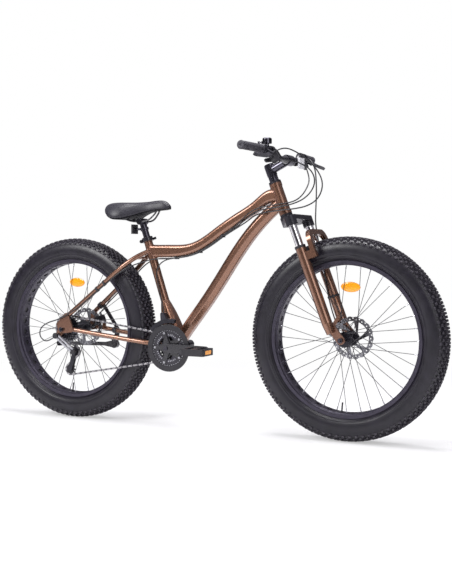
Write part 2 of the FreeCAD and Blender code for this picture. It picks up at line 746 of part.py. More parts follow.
def tire():
    rows = tread_rows()
    bead = RIM_SEAT_RADIUS + FIT
    bead_half = RIM_HALF - RIM_WALL - FIT
    shoulder, shoulder_y = rows[-1][0], rows[-1][2]
    inner_y = shoulder_y - TIRE_WALL
    crown = rows[len(rows) // 2][0] - TIRE_WALL
    side = TIRE_HALF - TIRE_WALL
    lands = [point for land, first, last in rows for point in ((land, first), (land, last))]
    lip = RIM_FLANGE_RADIUS + GAP
    inside = bead_half - TIRE_WALL
    steps = [(bead, -bead_half), (lip, -bead_half), ((TIRE_SIDE_RADIUS, -TIRE_HALF), lands[0])] + lands[1:]
    steps += [((TIRE_SIDE_RADIUS, TIRE_HALF), (lip, bead_half)), (bead, bead_half), (bead, inside)]
    steps += [(lip, inside), ((TIRE_SIDE_RADIUS, side), (shoulder - TIRE_WALL, inner_y))]
    steps += [((crown, 0), (shoulder - TIRE_WALL, -inner_y))]
    steps += [((TIRE_SIDE_RADIUS, -side), (lip, -inside)), (bead, -inside)]
    knobs = []
    for index, (land, first, last) in enumerate(rows):
        teeth = toothed(KNOB_COUNT, land + KNOB_ROOT, land + KNOB_HEIGHT, KNOB_shares, first, index % 2 / 2)
        bore = circle(V(0, first, 0), land, ACROSS)
        knobs.append(holed(teeth, [bore], ACROSS * (last - first)))
    return turned(steps).fuse(knobs).removeSplitter()


def tube_outline(skin):
    """Inner tube's outline, skin inside the tire's bore."""
    rows = tread_rows()
    inner_y = rows[-1][2] - TIRE_WALL - skin
    shoulder = rows[-1][0] - TIRE_WALL - skin
    crown = rows[len(rows) // 2][0] - TIRE_WALL - skin
    side = TIRE_HALF - TIRE_WALL - skin
    floor = RIM_SEAT_RADIUS + skin
    half = TUBE_FLOOR_HALF - skin
    return [(floor, -half), ((TIRE_SIDE_RADIUS, -side), (shoulder, -inner_y)),
            ((crown, 0), (shoulder, inner_y)), ((TIRE_SIDE_RADIUS, side), (floor, half))]


def inner_tube():
    skin = turned(tube_outline(TUBE_GAP)).cut(turned(tube_outline(TUBE_GAP + TUBE_WALL)))
    foot = V(0, 0, -(RIM_SEAT_RADIUS + TUBE_GAP + TUBE_WALL / 2))
    tip = V(0, 0, VALVE_LENGTH - RIM_SEAT_RADIUS)
    return skin.fuse(cylinder(foot, tip, VALVE_RADIUS))


def rim():
    seat_inner = RIM_HALF - RIM_WALL
    slope_y = RIM_WELL_HALF + RIM_SLOPE
    inside = [(RIM_BORE_RADIUS, RIM_WELL_HALF), (RIM_SEAT_RADIUS - RIM_WALL, slope_y),
              (RIM_SEAT_RADIUS - RIM_WALL, RIM_HALF), (RIM_FLANGE_RADIUS, RIM_HALF),
              (RIM_FLANGE_RADIUS, seat_inner), (RIM_SEAT_RADIUS, seat_inner), (RIM_SEAT_RADIUS, slope_y),
              (RIM_BORE_RADIUS + RIM_WALL, RIM_WELL_HALF)]
    steps = inside + [(radius, -y) for radius, y in reversed(inside)]
    return turned(steps).cut(group(rim_holes(RIM_HOLE_RADIUS)))


def rim_holes(radius):
    """Radial cutters: the valve's hole at the bottom, and a round hole at each other place."""
    holes = []
    for place in range(RIM_HOLE_COUNT):
        angle = 2 * math.pi * place / RIM_HOLE_COUNT - math.pi / 2
        out = V(math.cos(angle), 0, math.sin(angle))
        size = radius if place else VALVE_RADIUS + FIT
        holes.append(cylinder(out * (RIM_BORE_RADIUS - OVERRUN), out * (RIM_SEAT_RADIUS + OVERRUN), size))
    return holes


def rim_strip():
    low = RIM_BORE_RADIUS + RIM_WALL + FIT
    strip = stepped([(-STRIP_HALF, STRIP_HALF, low + STRIP_THICKNESS)], low)
    return strip.cut(rim_holes(RIM_HOLE_RADIUS)[0])


def spokes(right_flange, left_flange):
    made = []
    step = 2 * math.pi / SPOKES_PER_SIDE
    seat = FLANGE_THICKNESS / 2 + SPOKE_RADIUS + FIT
    for side, flange in ((-1, right_flange), (1, left_flange)):
        for number in range(SPOKES_PER_SIDE):
            lead = 1 if number % 2 else -1
            start = step * (number + side / 4)
            end = start + lead * SPOKE_CROSSES * step
            lift = seat + SPOKE_LEAN_ROOM if lead == side else seat
            y = side * flange + lead * lift
            hub = V(FLANGE_HOLE_RADIUS * math.cos(start), y, FLANGE_HOLE_RADIUS * math.sin(start))
            reach = RIM_BORE_RADIUS - NIPPLE_RIM_ROOM
            tip = V(reach * math.cos(end), side * SPOKE_RIM_OFFSET, reach * math.sin(end))
            neck = tip - unit(tip - hub) * NIPPLE_LENGTH
            made.append(cylinder(hub, neck, SPOKE_RADIUS).fuse(cylinder(neck, tip, NIPPLE_RADIUS)))
    return group(made)


def hub(right_end, right_flange, left_flange, rotor_y, left_end):
    half = FLANGE_THICKNESS / 2
    seat = rotor_y - ROTOR_THICKNESS / 2
    sections = [(right_end, -right_flange - half, HUB_END_RADIUS),
                (-right_flange - half, half - right_flange, FLANGE_RADIUS),
                (half - right_flange, left_flange - half, BARREL_RADIUS),
                (left_flange - half, left_flange + half, FLANGE_RADIUS),
                (left_flange + half, seat - ROTOR_SEAT_LENGTH, BARREL_RADIUS),
                (seat - ROTOR_SEAT_LENGTH, seat, ROTOR_SEAT_RADIUS + ROTOR_BOLT_RADIUS),
                (seat, rotor_y + ROTOR_THICKNESS, ROTOR_BORE_RADIUS - FIT),
                (rotor_y + ROTOR_THICKNESS, left_end, HUB_END_RADIUS)]
    return stepped(sections, AXLE_RADIUS + FIT)


def front_hub():
    end = FRONT_HUB_HALF - GAP
    return hub(-end, FRONT_FLANGE_AT, FRONT_FLANGE_AT, FRONT_ROTOR_Y, end)


def rear_hub():
    shoulder = CHAIN_Y + COG_THICKNESS / 2 + GAP
    end = DROPOUT_INNER - GAP
    body = hub(shoulder, REAR_FLANGE_RIGHT, REAR_FLANGE_LEFT, REAR_ROTOR_Y, end)
    driver = stepped([(-end, shoulder, COG_SEAT_RADIUS - FIT)], AXLE_RADIUS + FIT)
    return body.fuse(driver).removeSplitter()


def axle(inner_half, tip_thickness):
    end = inner_half + tip_thickness + NUT_LENGTH + AXLE_TIP
    made = [cylinder(V(0, -end, 0), V(0, end, 0), AXLE_RADIUS)]
    for side in SIDES:
        seat = side * (inner_half + tip_thickness)
        cap = seat + side * NUT_LENGTH
        made.append(ring(V(0, seat, 0), V(0, cap, 0), NUT_RADIUS, AXLE_RADIUS + FIT))
    return group(made)


def polar(radius, angle, y):
    return V(radius * math.cos(angle), y, radius * math.sin(angle))


def window(inner, outer, first, last, slant, y):
    """Closed line of a slanted opening between two radii and two angles."""
    middle = (first + last) / 2
    near = [polar(inner, angle, y) for angle in (first, middle, last)]
    far = [polar(outer, angle + slant, y) for angle in (last, middle, first)]
    edges = [Part.Arc(*near).toShape(), Part.LineSegment(near[2], far[0]).toShape(),
             Part.Arc(*far).toShape(), Part.LineSegment(far[2], near[0]).toShape()]
    return Part.Wire(edges)


def rotor():
    """Wavy drilled disc on the plane y = 0 with slanted arms, and its bolts."""
    low = -ROTOR_THICKNESS / 2
    pitch = 2 * math.pi / ROTOR_ARMS
    track = ROTOR_RADIUS - ROTOR_WAVE - ROTOR_TRACK
    rim_wave = toothed(ROTOR_WAVES, ROTOR_RADIUS - ROTOR_WAVE, ROTOR_RADIUS, TOOTH_shares, low)
    holes = [circle(V(0, low, 0), ROTOR_BORE_RADIUS, ACROSS)]
    for number in range(ROTOR_HOLES):
        reach = track + ROTOR_TRACK * (1 + number % 2) / 3
        holes.append(circle(polar(reach, 2 * math.pi * number / ROTOR_HOLES, low), ROTOR_HOLE_RADIUS, ACROSS))
    for number in range(ROTOR_ARMS):
        last = pitch * (number + ROTOR_WINDOW_share)
        outer = track - ROTOR_HOLE_RADIUS
        holes.append(window(ROTOR_CORE_RADIUS, outer, pitch * number, last, pitch * ROTOR_SLANT_share, low))
    pieces = [holed(rim_wave, holes, ACROSS * ROTOR_THICKNESS)]
    for number in range(ROTOR_ARMS):
        seat = polar(ROTOR_BOLT_CIRCLE, pitch * number, -low)
        pieces.append(cylinder(seat, seat + ACROSS * ROTOR_BOLT_HEAD, ROTOR_BOLT_RADIUS))
    return group(pieces)


def on_rotor(axle_place, angle, out, along):
    """Point on the XZ plane: out from the axle at an angle, and along the rotor's rim."""
    turn = math.radians(angle)
    ray = V(math.cos(turn), 0, math.sin(turn))
    return axle_place + ray * out + V(-ray.z, 0, ray.x) * along


def caliper_block(axle_place, rotor_y, angle):
    low = ROTOR_RADIUS - CALIPER_INSIDE + CALIPER_CORNER
    high = ROTOR_RADIUS + CALIPER_OUTSIDE - CALIPER_CORNER
    half = CALIPER_HALF - CALIPER_CORNER
    corners = [(low, -half), (high, -half), (high, half), (low, half)]
    circles = [(on_rotor(axle_place, angle, out, along), CALIPER_CORNER) for out, along in corners]
    return plate_y(round_y(circles), rotor_y - CALIPER_INNER, rotor_y + CALIPER_OUTER)


def caliper(axle_place, rotor_y, angle):
    """Caliper body with the rotor's slot and the arm's pivot pin."""
    half = CALIPER_SLOT / 2
    slot = cylinder(axle_place + ACROSS * (rotor_y - half), axle_place + ACROSS * (rotor_y + half),
                    ROTOR_RADIUS + ROTOR_ROOM)
    pin = on_rotor(axle_place, angle, ROTOR_RADIUS, 0) + ACROSS * (rotor_y + CALIPER_OUTER)
    stub = cylinder(pin, pin + ACROSS * (GAP + CALIPER_ARM_THICKNESS), CALIPER_ARM_TIP - FIT)
    return caliper_block(axle_place, rotor_y, angle).cut(slot).fuse(stub)


def brake_pads(axle_place, rotor_y, angle):
    pads = []
    centre = on_rotor(axle_place, angle, ROTOR_RADIUS - ROTOR_TRACK / 2, 0)
    for side in SIDES:
        near = rotor_y + side * (ROTOR_THICKNESS / 2 + PAD_GAP)
        far = rotor_y + side * CALIPER_SLOT / 2
        pads.append(cylinder(centre + ACROSS * near, centre + ACROSS * far, PAD_RADIUS))
    return group(pads)


def caliper_arm(axle_place, rotor_y, angle, along):
    """Actuating arm, along pointing to the cable's end of it round the rotor's rim."""
    first = rotor_y + CALIPER_OUTER + GAP
    pivot = on_rotor(axle_place, angle, ROTOR_RADIUS, 0)
    tip = on_rotor(axle_place, angle, ROTOR_RADIUS, along * CALIPER_ARM_LENGTH)
    arm = plate_y(round_y([(pivot, CALIPER_ARM_RADIUS), (tip, CALIPER_ARM_TIP)]),
                  first, first + CALIPER_ARM_THICKNESS)
    bore = cylinder(pivot + ACROSS * (first - OVERRUN),
                    pivot + ACROSS * (first + CALIPER_ARM_THICKNESS + OVERRUN), CALIPER_ARM_TIP)
    return arm.cut(bore)


def chord_points(first, last, shares):
    """Points along the chord, each lifted square to it, both as shares of its length."""
    chord = last - first
    lift = V(-chord.z, 0, chord.x)
    return [first + chord * along + lift * up for along, up in shares]


def lofted_tube(points, make_corners, corner, wall):
    """Hollow tube through the points on the XZ plane; make_corners gives a station's corners."""
    skins = []
    for skin in (0, wall):
        wires = []
        for index, point in enumerate(points):
            ahead = points[min(index + 1, len(points) - 1)] - points[max(index - 1, 0)]
            tangent = unit(ahead)
            up = V(-tangent.z, 0, tangent.x)
            wires.append(section(point, ACROSS, up, make_corners(index, skin), corner - skin))
        skins.append(loft(wires))
    return skins[0].cut(skins[1]), skins[0]


def top_tube_corners(index, skin):
    return rectangle(TOP_TUBE_WIDTH * TOP_TUBE_WIDTH_shares[index] / 2 - skin,
                     TOP_TUBE_DEPTH * TOP_TUBE_DEPTH_shares[index] / 2 - skin)


def down_tube_corners(index, skin):
    half_width = DOWN_TUBE_WIDTH * DOWN_TUBE_WIDTH_shares[index] / 2 - skin
    half_depth = DOWN_TUBE_DEPTH * DOWN_TUBE_DEPTH_shares[index] / 2 - skin
    return [(w * half_width, h * half_depth) for w, h in DOWN_TUBE_SECTION_shares]


def top_tube_pieces():
    ends = (on_seat_tube(TOP_TUBE_SEAT_AT), on_steerer(0, 0, TOP_TUBE_HEAD_AT))
    line = chord_points(ends[0], ends[1], TOP_TUBE_LINE_shares)
    return lofted_tube(line, top_tube_corners, TOP_TUBE_CORNER, TUBE_WALL_FRAME)


def down_tube_line():
    return chord_points(BB, on_steerer(0, 0, DOWN_TUBE_HEAD_AT), DOWN_TUBE_LINE_shares)


def boss_places():
    """Foot and axis of each bottle boss on the upper face of the down tube."""
    line = down_tube_line()
    chord = unit(line[3] - line[1])
    up = V(-chord.z, 0, chord.x)
    first = mix(line[1], line[3], BOSS_FIRST_share)
    return [(first + chord * along, up) for along in (-BOSS_PITCH / 2, BOSS_PITCH / 2)]


def yoke_solid(skin):
    """Flared foot of the seat tube, from the round tube to the wide bottom bracket."""
    sizes = ((YOKE_TOP_AT, SEAT_TUBE_RADIUS, SEAT_TUBE_RADIUS, SEAT_TUBE_RADIUS - FIT),
             (YOKE_MID_AT, YOKE_MID_LENGTH / 2, YOKE_MID_WIDTH / 2, YOKE_CORNER),
             (YOKE_FOOT_AT, YOKE_FOOT_LENGTH / 2, YOKE_FOOT_WIDTH / 2, YOKE_CORNER))
    ahead = V(SEAT_UP.z, 0, -SEAT_UP.x)
    wires = [section(on_seat_tube(at), ACROSS, ahead, rectangle(half_width - skin, half_length - skin),
                     corner - skin) for at, half_length, half_width, corner in sizes]
    return loft(wires)


def chainstay_points(side):
    return [BB + V(-x * BB_AHEAD, side * (SHELL_HALF + y * (STAY_END_Y - SHELL_HALF)), z * BB_DROP)
            for x, y, z in CHAINSTAY_shares]


def seatstay_points(side):
    first = on_seat_tube(SEATSTAY_AT)
    last = REAR_AXLE + V(SEATSTAY_END_AHEAD, 0, SEATSTAY_END_UP)
    lift = V(0, 0, (last - first).Length)
    return [mix(first, last, along) + ACROSS * (side * STAY_END_Y * y) + lift * up
            for along, y, up in SEATSTAY_shares]


def dropout(side):
    inner, outer = sorted((side * DROPOUT_INNER, side * DROPOUT_OUTER))
    stay = chainstay_points(side)[-1]
    eyelet = REAR_AXLE + V(-EYELET_BACK, 0, EYELET_UP)
    circles = [(REAR_AXLE, DROPOUT_BOSS_RADIUS), (stay, DROPOUT_END_RADIUS),
               (seatstay_points(side)[-1], DROPOUT_END_RADIUS), (eyelet, EYELET_BOSS_RADIUS)]
    body = plate_y(round_y(circles), inner, outer)
    holes = [(REAR_AXLE, AXLE_RADIUS + FIT), (eyelet, EYELET_RADIUS)]
    if side < 0:
        circles = [(REAR_AXLE, DROPOUT_BOSS_RADIUS), (hanger_place(), DROPOUT_END_RADIUS)]
        body = body.fuse(plate_y(round_y(circles), inner, outer)).removeSplitter()
        holes.append((hanger_place(), HANGER_BOLT_RADIUS + FIT))
    for centre, radius in holes:
        spot = V(centre.x, 0, centre.z)
        body = body.cut(cylinder(spot + ACROSS * (inner - OVERRUN), spot + ACROSS * (outer + OVERRUN), radius))
    return body


def hanger_place():
    return REAR_AXLE + V(-HANGER_BACK, 0, -HANGER_DOWN)


def head_tube():
    low = on_steerer(0, 0, 0)
    high = on_steerer(0, 0, HEAD_LENGTH)
    lip = STEER_UP * HEAD_LIP_LENGTH
    body = fuse([cylinder(low, high, HEAD_RADIUS), cylinder(low, low + lip, HEAD_LIP_RADIUS),
                 cylinder(high - lip, high, HEAD_LIP_RADIUS)])
    run = STEER_UP * OVERRUN
    return body.cut(cylinder(low - run, high + run, HEAD_BORE_RADIUS))


def main_frame():
    head_solid = cylinder(on_steerer(0, 0, 0), on_steerer(0, 0, HEAD_LENGTH), HEAD_RADIUS)
    lips = [cylinder(on_steerer(0, 0, at), on_steerer(0, 0, at + HEAD_LIP_LENGTH), HEAD_LIP_RADIUS)
            for at in (0, HEAD_LENGTH - HEAD_LIP_LENGTH)]
    seat_solid = cylinder(on_seat_tube(YOKE_TOP_AT), SEAT_TOP, SEAT_TUBE_RADIUS)
    shell_solid = cylinder(BB - ACROSS * SHELL_HALF, BB + ACROSS * SHELL_HALF, SHELL_RADIUS)
    top_tube = top_tube_pieces()[0]
    down_tube, down_solid = lofted_tube(down_tube_line(), down_tube_corners, DOWN_TUBE_CORNER,
                                        TUBE_WALL_FRAME)
    top_tube = top_tube.cut([head_solid, seat_solid, down_solid] + lips)
    down_tube = down_tube.cut([head_solid, shell_solid] + lips)
    yoke = yoke_solid(0).cut([yoke_solid(TUBE_WALL_FRAME), shell_solid, down_solid])
    seat_tube = ring(on_seat_tube(YOKE_TOP_AT), SEAT_TOP, SEAT_TUBE_RADIUS, POST_RADIUS + FIT)
    shell = ring(BB - ACROSS * SHELL_HALF, BB + ACROSS * SHELL_HALF, SHELL_RADIUS, SHELL_BORE_RADIUS)
    bosses = []
    for foot, up in boss_places():
        low = foot + up * (DOWN_TUBE_DEPTH / 2 - TUBE_WALL_FRAME)
        high = foot + up * (DOWN_TUBE_DEPTH / 2 + BOSS_HEIGHT)
        down_tube = down_tube.cut(cylinder(low, high, BOSS_RADIUS))
        bosses.append(ring(low, high, BOSS_RADIUS, BOSS_BORE_RADIUS))
    return group([head_tube(), largest(top_tube), largest(down_tube), seat_tube, largest(yoke), shell] + bosses)


def largest(shape):
    return max(shape.Solids, key=lambda solid: solid.Volume)


def rear_stays():
    seat_solid = cylinder(on_seat_tube(YOKE_TOP_AT), SEAT_TOP, SEAT_TUBE_RADIUS)
    shell_end = ACROSS * (SHELL_HALF + CUP_FLANGE + GAP)
    shell_solid = cylinder(BB - shell_end, BB + shell_end, SHELL_RADIUS)
    stays = []
    outer = []
    for side in SIDES:
        first, last = sorted((side * DROPOUT_INNER, side * DROPOUT_OUTER))
        circles = [(REAR_AXLE, DROPOUT_BOSS_RADIUS), (chainstay_points(side)[-1], DROPOUT_END_RADIUS),
                   (seatstay_points(side)[-1], DROPOUT_END_RADIUS)]
        blank = plate_y(round_y(circles), first, last)
        for points, ends in ((chainstay_points(side), [yoke_solid(0), shell_solid]),
                             (seatstay_points(side), [seat_solid])):
            outer.append(pipe(points, STAY_RADIUS))
            stays.append(largest(hollow_pipe(points, STAY_RADIUS, STAY_WALL).cut(ends + [blank])))
    stays[3] = largest(stays[3].cut(outer[1]))
    places = []
    for side in SIDES:
        points = seatstay_points(side)
        places.append(mix(points[1], points[2], BRIDGE_share))
    bridge = largest(cylinder(places[0], places[1], BRIDGE_RADIUS).cut([outer[1], outer[3]]))
    return group(stays + [bridge, dropout(-1), dropout(1)])


def headset():
    cups = []
    for face, outward in ((0, -1), (HEAD_LENGTH, 1)):
        seat = on_steerer(0, 0, face)
        flange = cylinder(seat, on_steerer(0, 0, face + outward * CUP_LENGTH), CUP_RADIUS)
        insert = cylinder(seat, on_steerer(0, 0, face - outward * CUP_INSERT), HEAD_BORE_RADIUS - FIT)
        low = on_steerer(0, 0, face - CUP_INSERT - OVERRUN)
        high = on_steerer(0, 0, face + CUP_INSERT + OVERRUN)
        cups.append(flange.fuse(insert).cut(cylinder(low, high, STEERER_RADIUS + FIT)))
    return group(cups)


def steerer_spacers():
    height = SPACER_STACK / SPACER_COUNT
    base = STEM_BOTTOM - SPACER_STACK
    return group([ring(on_steerer(0, 0, base + n * height), on_steerer(0, 0, base + (n + 1) * height),
                       SPACER_RADIUS, STEERER_RADIUS + FIT) for n in range(SPACER_COUNT)])


def stem_pieces():
    """Stem body and faceplate round the steerer and the bar."""
    low = on_steerer(0, 0, STEM_BOTTOM)
    high = on_steerer(0, 0, STEERER_TOP)
    root = (low + high) * 0.5
    beam = unit(BAR_CENTRE - root)
    half = ACROSS * BAR_CLAMP_HALF
    run = STEER_UP * OVERRUN
    side_run = ACROSS * OVERRUN
    body = fuse([cylinder(low, high, STEM_CLAMP_RADIUS), cylinder(root, BAR_CENTRE, STEM_BEAM_RADIUS),
                 cylinder(BAR_CENTRE - half, BAR_CENTRE + half, BAR_CLAMP_RADIUS)])
    body = body.cut([cylinder(low - run, high + run, STEERER_RADIUS + FIT),
                     cylinder(BAR_CENTRE - half - side_run, BAR_CENTRE + half + side_run,
                              BAR_MIDDLE_RADIUS + FIT)])
    split = BAR_CENTRE + beam * FACEPLATE_SPLIT
    reach = beam * BAR_CLAMP_RADIUS
    ahead = cylinder(split, split + reach, BAR_CLAMP_HALF + BAR_CLAMP_RADIUS)
    front = cylinder(split + beam * GAP, split + reach, BAR_CLAMP_HALF + BAR_CLAMP_RADIUS)
    return largest(body.cut(ahead)), largest(body.common(front))


def top_cap():
    seat = on_steerer(0, 0, STEERER_TOP)
    lid = seat + STEER_UP * CAP_HEIGHT
    disc = cylinder(seat, lid, SPACER_RADIUS)
    return group([disc, cylinder(lid, lid + STEER_UP * CAP_BOLT_HEAD, CAP_BOLT_RADIUS)])


def bar_points(side):
    ends = ((0, BAR_TAPER_END, 0), (0, BAR_KNEE_AT, 0), (-BAR_BEND_BACK, BAR_BEND_AT, BAR_RISE),
            (-BAR_END_BACK, BAR_HALF, BAR_END_RISE))
    return [BAR_CENTRE + V(x, side * y, z) for x, y, z in ends]


def bar_solid(skin):
    middle = ACROSS * BAR_MIDDLE_HALF
    pieces = [cylinder(BAR_CENTRE - middle, BAR_CENTRE + middle, BAR_MIDDLE_RADIUS - skin)]
    for side in SIDES:
        pieces.append(cone(BAR_CENTRE + middle * side, bar_points(side)[0], BAR_MIDDLE_RADIUS - skin,
                           BAR_RADIUS - skin))
        pieces.append(pipe(bar_points(side), BAR_RADIUS - skin))
    return fuse(pieces)


def handlebar():
    return bar_solid(0).cut(bar_solid(BAR_WALL))


class Hand:
    """Directions at one end of the bar: outward along it, ahead and down by tilt, and up from that."""

    def __init__(self, side, tilt):
        bend, end = bar_points(side)[2:]
        self.end = end
        self.outward = unit(end - bend)
        level = unit(V(1, 0, 0) - self.outward * self.outward.x)
        lift = V(0, 0, 1) - self.outward * self.outward.z
        upright = unit(lift - level * lift.dot(level))
        turn = math.radians(tilt)
        self.ahead = level * math.cos(turn) - upright * math.sin(turn)
        self.up = level * math.sin(turn) + upright * math.cos(turn)

    def spot(self, inward, ahead=0.0, up=0.0):
        return self.end - self.outward * inward + self.ahead * ahead + self.up * up

    def plate(self, circles, first, last):
        return plate(circles, lambda u, v: self.spot(u, v, first), self.up * (last - first))

    def rod(self, inward, ahead, first, last, radius):
        return cylinder(self.spot(inward, ahead, first), self.spot(inward, ahead, last), radius)


def grip(side):
    hand = Hand(side, 0.0)
    body = cylinder(hand.spot(-GRIP_END_WALL), hand.spot(GRIP_LENGTH), GRIP_RADIUS)
    bore = cylinder(hand.spot(0), hand.spot(GRIP_LENGTH + OVERRUN), BAR_RADIUS + FIT)
    hole = cylinder(hand.spot(-GRIP_END_WALL - OVERRUN), hand.spot(OVERRUN), GRIP_END_HOLE)
    return body.cut([bore, hole])


def clamp_bore(hand, first, width):
    return cylinder(hand.spot(first - OVERRUN), hand.spot(first + width + OVERRUN), BAR_RADIUS + FIT)


def brake_bracket(side):
    """Bar clamp with two ears and the brake lever's pin."""
    hand = Hand(side, LEVER_TILT)
    middle = BRAKE_CLAMP_AT + BRAKE_CLAMP_WIDTH / 2
    inner = LEVER_THICKNESS / 2 + GAP
    outer = inner + LEVER_EAR
    root = (middle, 0, BRAKE_CLAMP_WIDTH / 2)
    web = (middle, LEVER_PIVOT_OUT - LEVER_BOSS_RADIUS - BRAKE_CLAMP_WIDTH / 2 - LEVER_EAR,
           BRAKE_CLAMP_WIDTH / 2)
    boss = (middle, LEVER_PIVOT_OUT, LEVER_BOSS_RADIUS)
    body = fuse([cylinder(hand.spot(BRAKE_CLAMP_AT), hand.spot(BRAKE_CLAMP_AT + BRAKE_CLAMP_WIDTH),
                          BAR_RADIUS + CLAMP_WALL),
                 hand.plate([root, web], -outer, outer),
                 hand.plate([root, boss], inner, outer), hand.plate([root, boss], -outer, -inner),
                 cylinder(hand.spot(middle, BARREL_OUT),
                          hand.spot(BRAKE_CLAMP_AT + BRAKE_CLAMP_WIDTH + BARREL_LENGTH, BARREL_OUT),
                          BARREL_RADIUS_HAND)])
    body = body.cut([clamp_bore(hand, BRAKE_CLAMP_AT, BRAKE_CLAMP_WIDTH),
                     hand.rod(middle, LEVER_PIVOT_OUT, -outer - OVERRUN, outer + OVERRUN,
                              LEVER_PIN_RADIUS + FIT)])
    return group([body, hand.rod(middle, LEVER_PIVOT_OUT, -outer, outer, LEVER_PIN_RADIUS)])


def brake_lever(side):
    hand = Hand(side, LEVER_TILT)
    middle = BRAKE_CLAMP_AT + BRAKE_CLAMP_WIDTH / 2
    half = LEVER_THICKNESS / 2
    boss = (middle, LEVER_PIVOT_OUT, LEVER_BOSS_RADIUS)
    knee = (LEVER_KNEE_AT, LEVER_KNEE_OUT, LEVER_KNEE_RADIUS)
    tip = (LEVER_TIP_AT, LEVER_TIP_OUT, LEVER_TIP_RADIUS)
    blade = fuse([hand.plate([boss, knee], -half, half), hand.plate([knee, tip], -half, half)])
    return blade.cut(hand.rod(middle, LEVER_PIVOT_OUT, -half - OVERRUN, half + OVERRUN,
                              LEVER_PIN_RADIUS + FIT))


def shifter(side):
    hand = Hand(side, SHIFT_TILT)
    middle = SHIFT_CLAMP_AT + SHIFT_CLAMP_WIDTH / 2
    half = SHIFT_THICKNESS / 2
    root = (middle, 0, SHIFT_CLAMP_WIDTH / 2)
    pod = (middle, SHIFT_OUT, SHIFT_RADIUS)
    body = fuse([cylinder(hand.spot(SHIFT_CLAMP_AT), hand.spot(SHIFT_CLAMP_AT + SHIFT_CLAMP_WIDTH),
                          BAR_RADIUS + CLAMP_WALL), hand.plate([root, pod], -half, half)])
    body = body.cut(clamp_bore(hand, SHIFT_CLAMP_AT - SHIFT_RADIUS, SHIFT_CLAMP_WIDTH + 2 * SHIFT_RADIUS))
    stub = hand.rod(middle, SHIFT_OUT, -half, -half - GAP - SHIFT_LEVER_THICKNESS, SHIFT_LEVER_RADIUS / 2)
    return body.fuse(stub)


def shift_lever(side):
    hand = Hand(side, SHIFT_TILT)
    middle = SHIFT_CLAMP_AT + SHIFT_CLAMP_WIDTH / 2
    last = -SHIFT_THICKNESS / 2 - GAP
    first = last - SHIFT_LEVER_THICKNESS
    hub_circle = (middle, SHIFT_OUT, SHIFT_HUB_RADIUS)
    tip = (middle - SHIFT_LEVER_REACH, SHIFT_OUT + SHIFT_HUB_RADIUS, SHIFT_LEVER_RADIUS)
    return hand.plate([hub_circle, tip], first, last).cut(
        hand.rod(middle, SHIFT_OUT, first - OVERRUN, last + OVERRUN, SHIFT_LEVER_RADIUS / 2 + FIT))


def bell_places():
    """Bell's frame at the bar: hand directions, clamp middle and the seat of the dome."""
    hand = Hand(-1, 0.0)
    middle = BELL_AT + BELL_WIDTH / 2
    return hand, middle, BAR_RADIUS + CLAMP_WALL + BELL_FOOT


def bell():
    hand, middle, seat = bell_places()
    band = ring(hand.spot(BELL_AT), hand.spot(BELL_AT + BELL_WIDTH), BAR_RADIUS + CLAMP_WALL,
                BAR_RADIUS + FIT)
    foot = hand.rod(middle, 0, BAR_RADIUS + CLAMP_WALL / 2, seat, BELL_FOOT_RADIUS)
    tongue = hand.plate([(middle, 0, BELL_FOOT_RADIUS), (middle, -striker_back(), STRIKER_KNOB_RADIUS)],
                        seat - BELL_WALL, seat)
    base = fuse([band, foot, tongue])
    dome = hand.rod(middle, 0, seat, seat + BELL_HEIGHT, BELL_RADIUS)
    top = [edge for edge in dome.Edges if edge.Length > BELL_RADIUS
           and (edge.CenterOfMass - hand.spot(middle, 0, seat + BELL_HEIGHT)).Length < BELL_WALL]
    dome = dome.makeFillet(BELL_CROWN, top[:1])
    hollow = hand.rod(middle, 0, seat - OVERRUN, seat + BELL_HEIGHT - BELL_CROWN, BELL_RADIUS - BELL_WALL)
    post = hand.rod(middle, 0, seat, seat + BELL_HEIGHT - BELL_CROWN, BELL_FOOT_RADIUS / 2)
    return group([base, dome.cut(hollow).fuse(post)])


def striker_back():
    return BELL_RADIUS + STRIKER_KNOB_RADIUS + GAP


def bell_striker():
    hand, middle, seat = bell_places()
    pivot = hand.rod(middle, -striker_back(), seat, seat + BELL_HEIGHT / 2, STRIKER_RADIUS)
    arm = cylinder(hand.spot(middle, -striker_back(), seat + BELL_HEIGHT / 4),
                   hand.spot(middle, -striker_back() - STRIKER_LENGTH, seat + BELL_HEIGHT / 4), STRIKER_RADIUS)
    tip = -striker_back() - STRIKER_LENGTH
    knob = hand.rod(middle, tip, seat + BELL_HEIGHT / 4 - STRIKER_KNOB_RADIUS,
                    seat + BELL_HEIGHT / 4 + STRIKER_KNOB_RADIUS, STRIKER_KNOB_RADIUS)
    return fuse([pivot, arm, knob])


def front_reflector_low():
    return BAR_CENTRE + V(BAR_RADIUS + FRONT_REFLECTOR_DEPTH,
                          FRONT_REFLECTOR_AT - FRONT_REFLECTOR_WIDTH / 2,
                          -FRONT_REFLECTOR_DROP - FRONT_REFLECTOR_HEIGHT / 2)


def front_reflector():
    low = front_reflector_low()
    return box(low, low + V(FRONT_REFLECTOR_DEPTH, FRONT_REFLECTOR_WIDTH, FRONT_REFLECTOR_HEIGHT))


def front_reflector_bracket():
    first = FRONT_REFLECTOR_AT - BRACKET_WIDTH / 2
    back = front_reflector_low().x
    drop = BAR_CENTRE - V(0, 0, FRONT_REFLECTOR_DROP)
    circles = [(BAR_CENTRE, BAR_RADIUS + CLAMP_WALL), (V(back, 0, drop.z), CLAMP_WALL)]
    body = plate_y(round_y(circles), first, first + BRACKET_WIDTH)
    bore = cylinder(BAR_CENTRE + ACROSS * (first - OVERRUN),
                    BAR_CENTRE + ACROSS * (first + BRACKET_WIDTH + OVERRUN), BAR_RADIUS + FIT)
    return body.cut([bore, front_reflector()])


def leg_rod(side, top, bottom, radius):
    return cylinder(on_steerer(LEG_AHEAD, side * LEG_Y, -bottom),
                    on_steerer(LEG_AHEAD, side * LEG_Y, -top), radius)


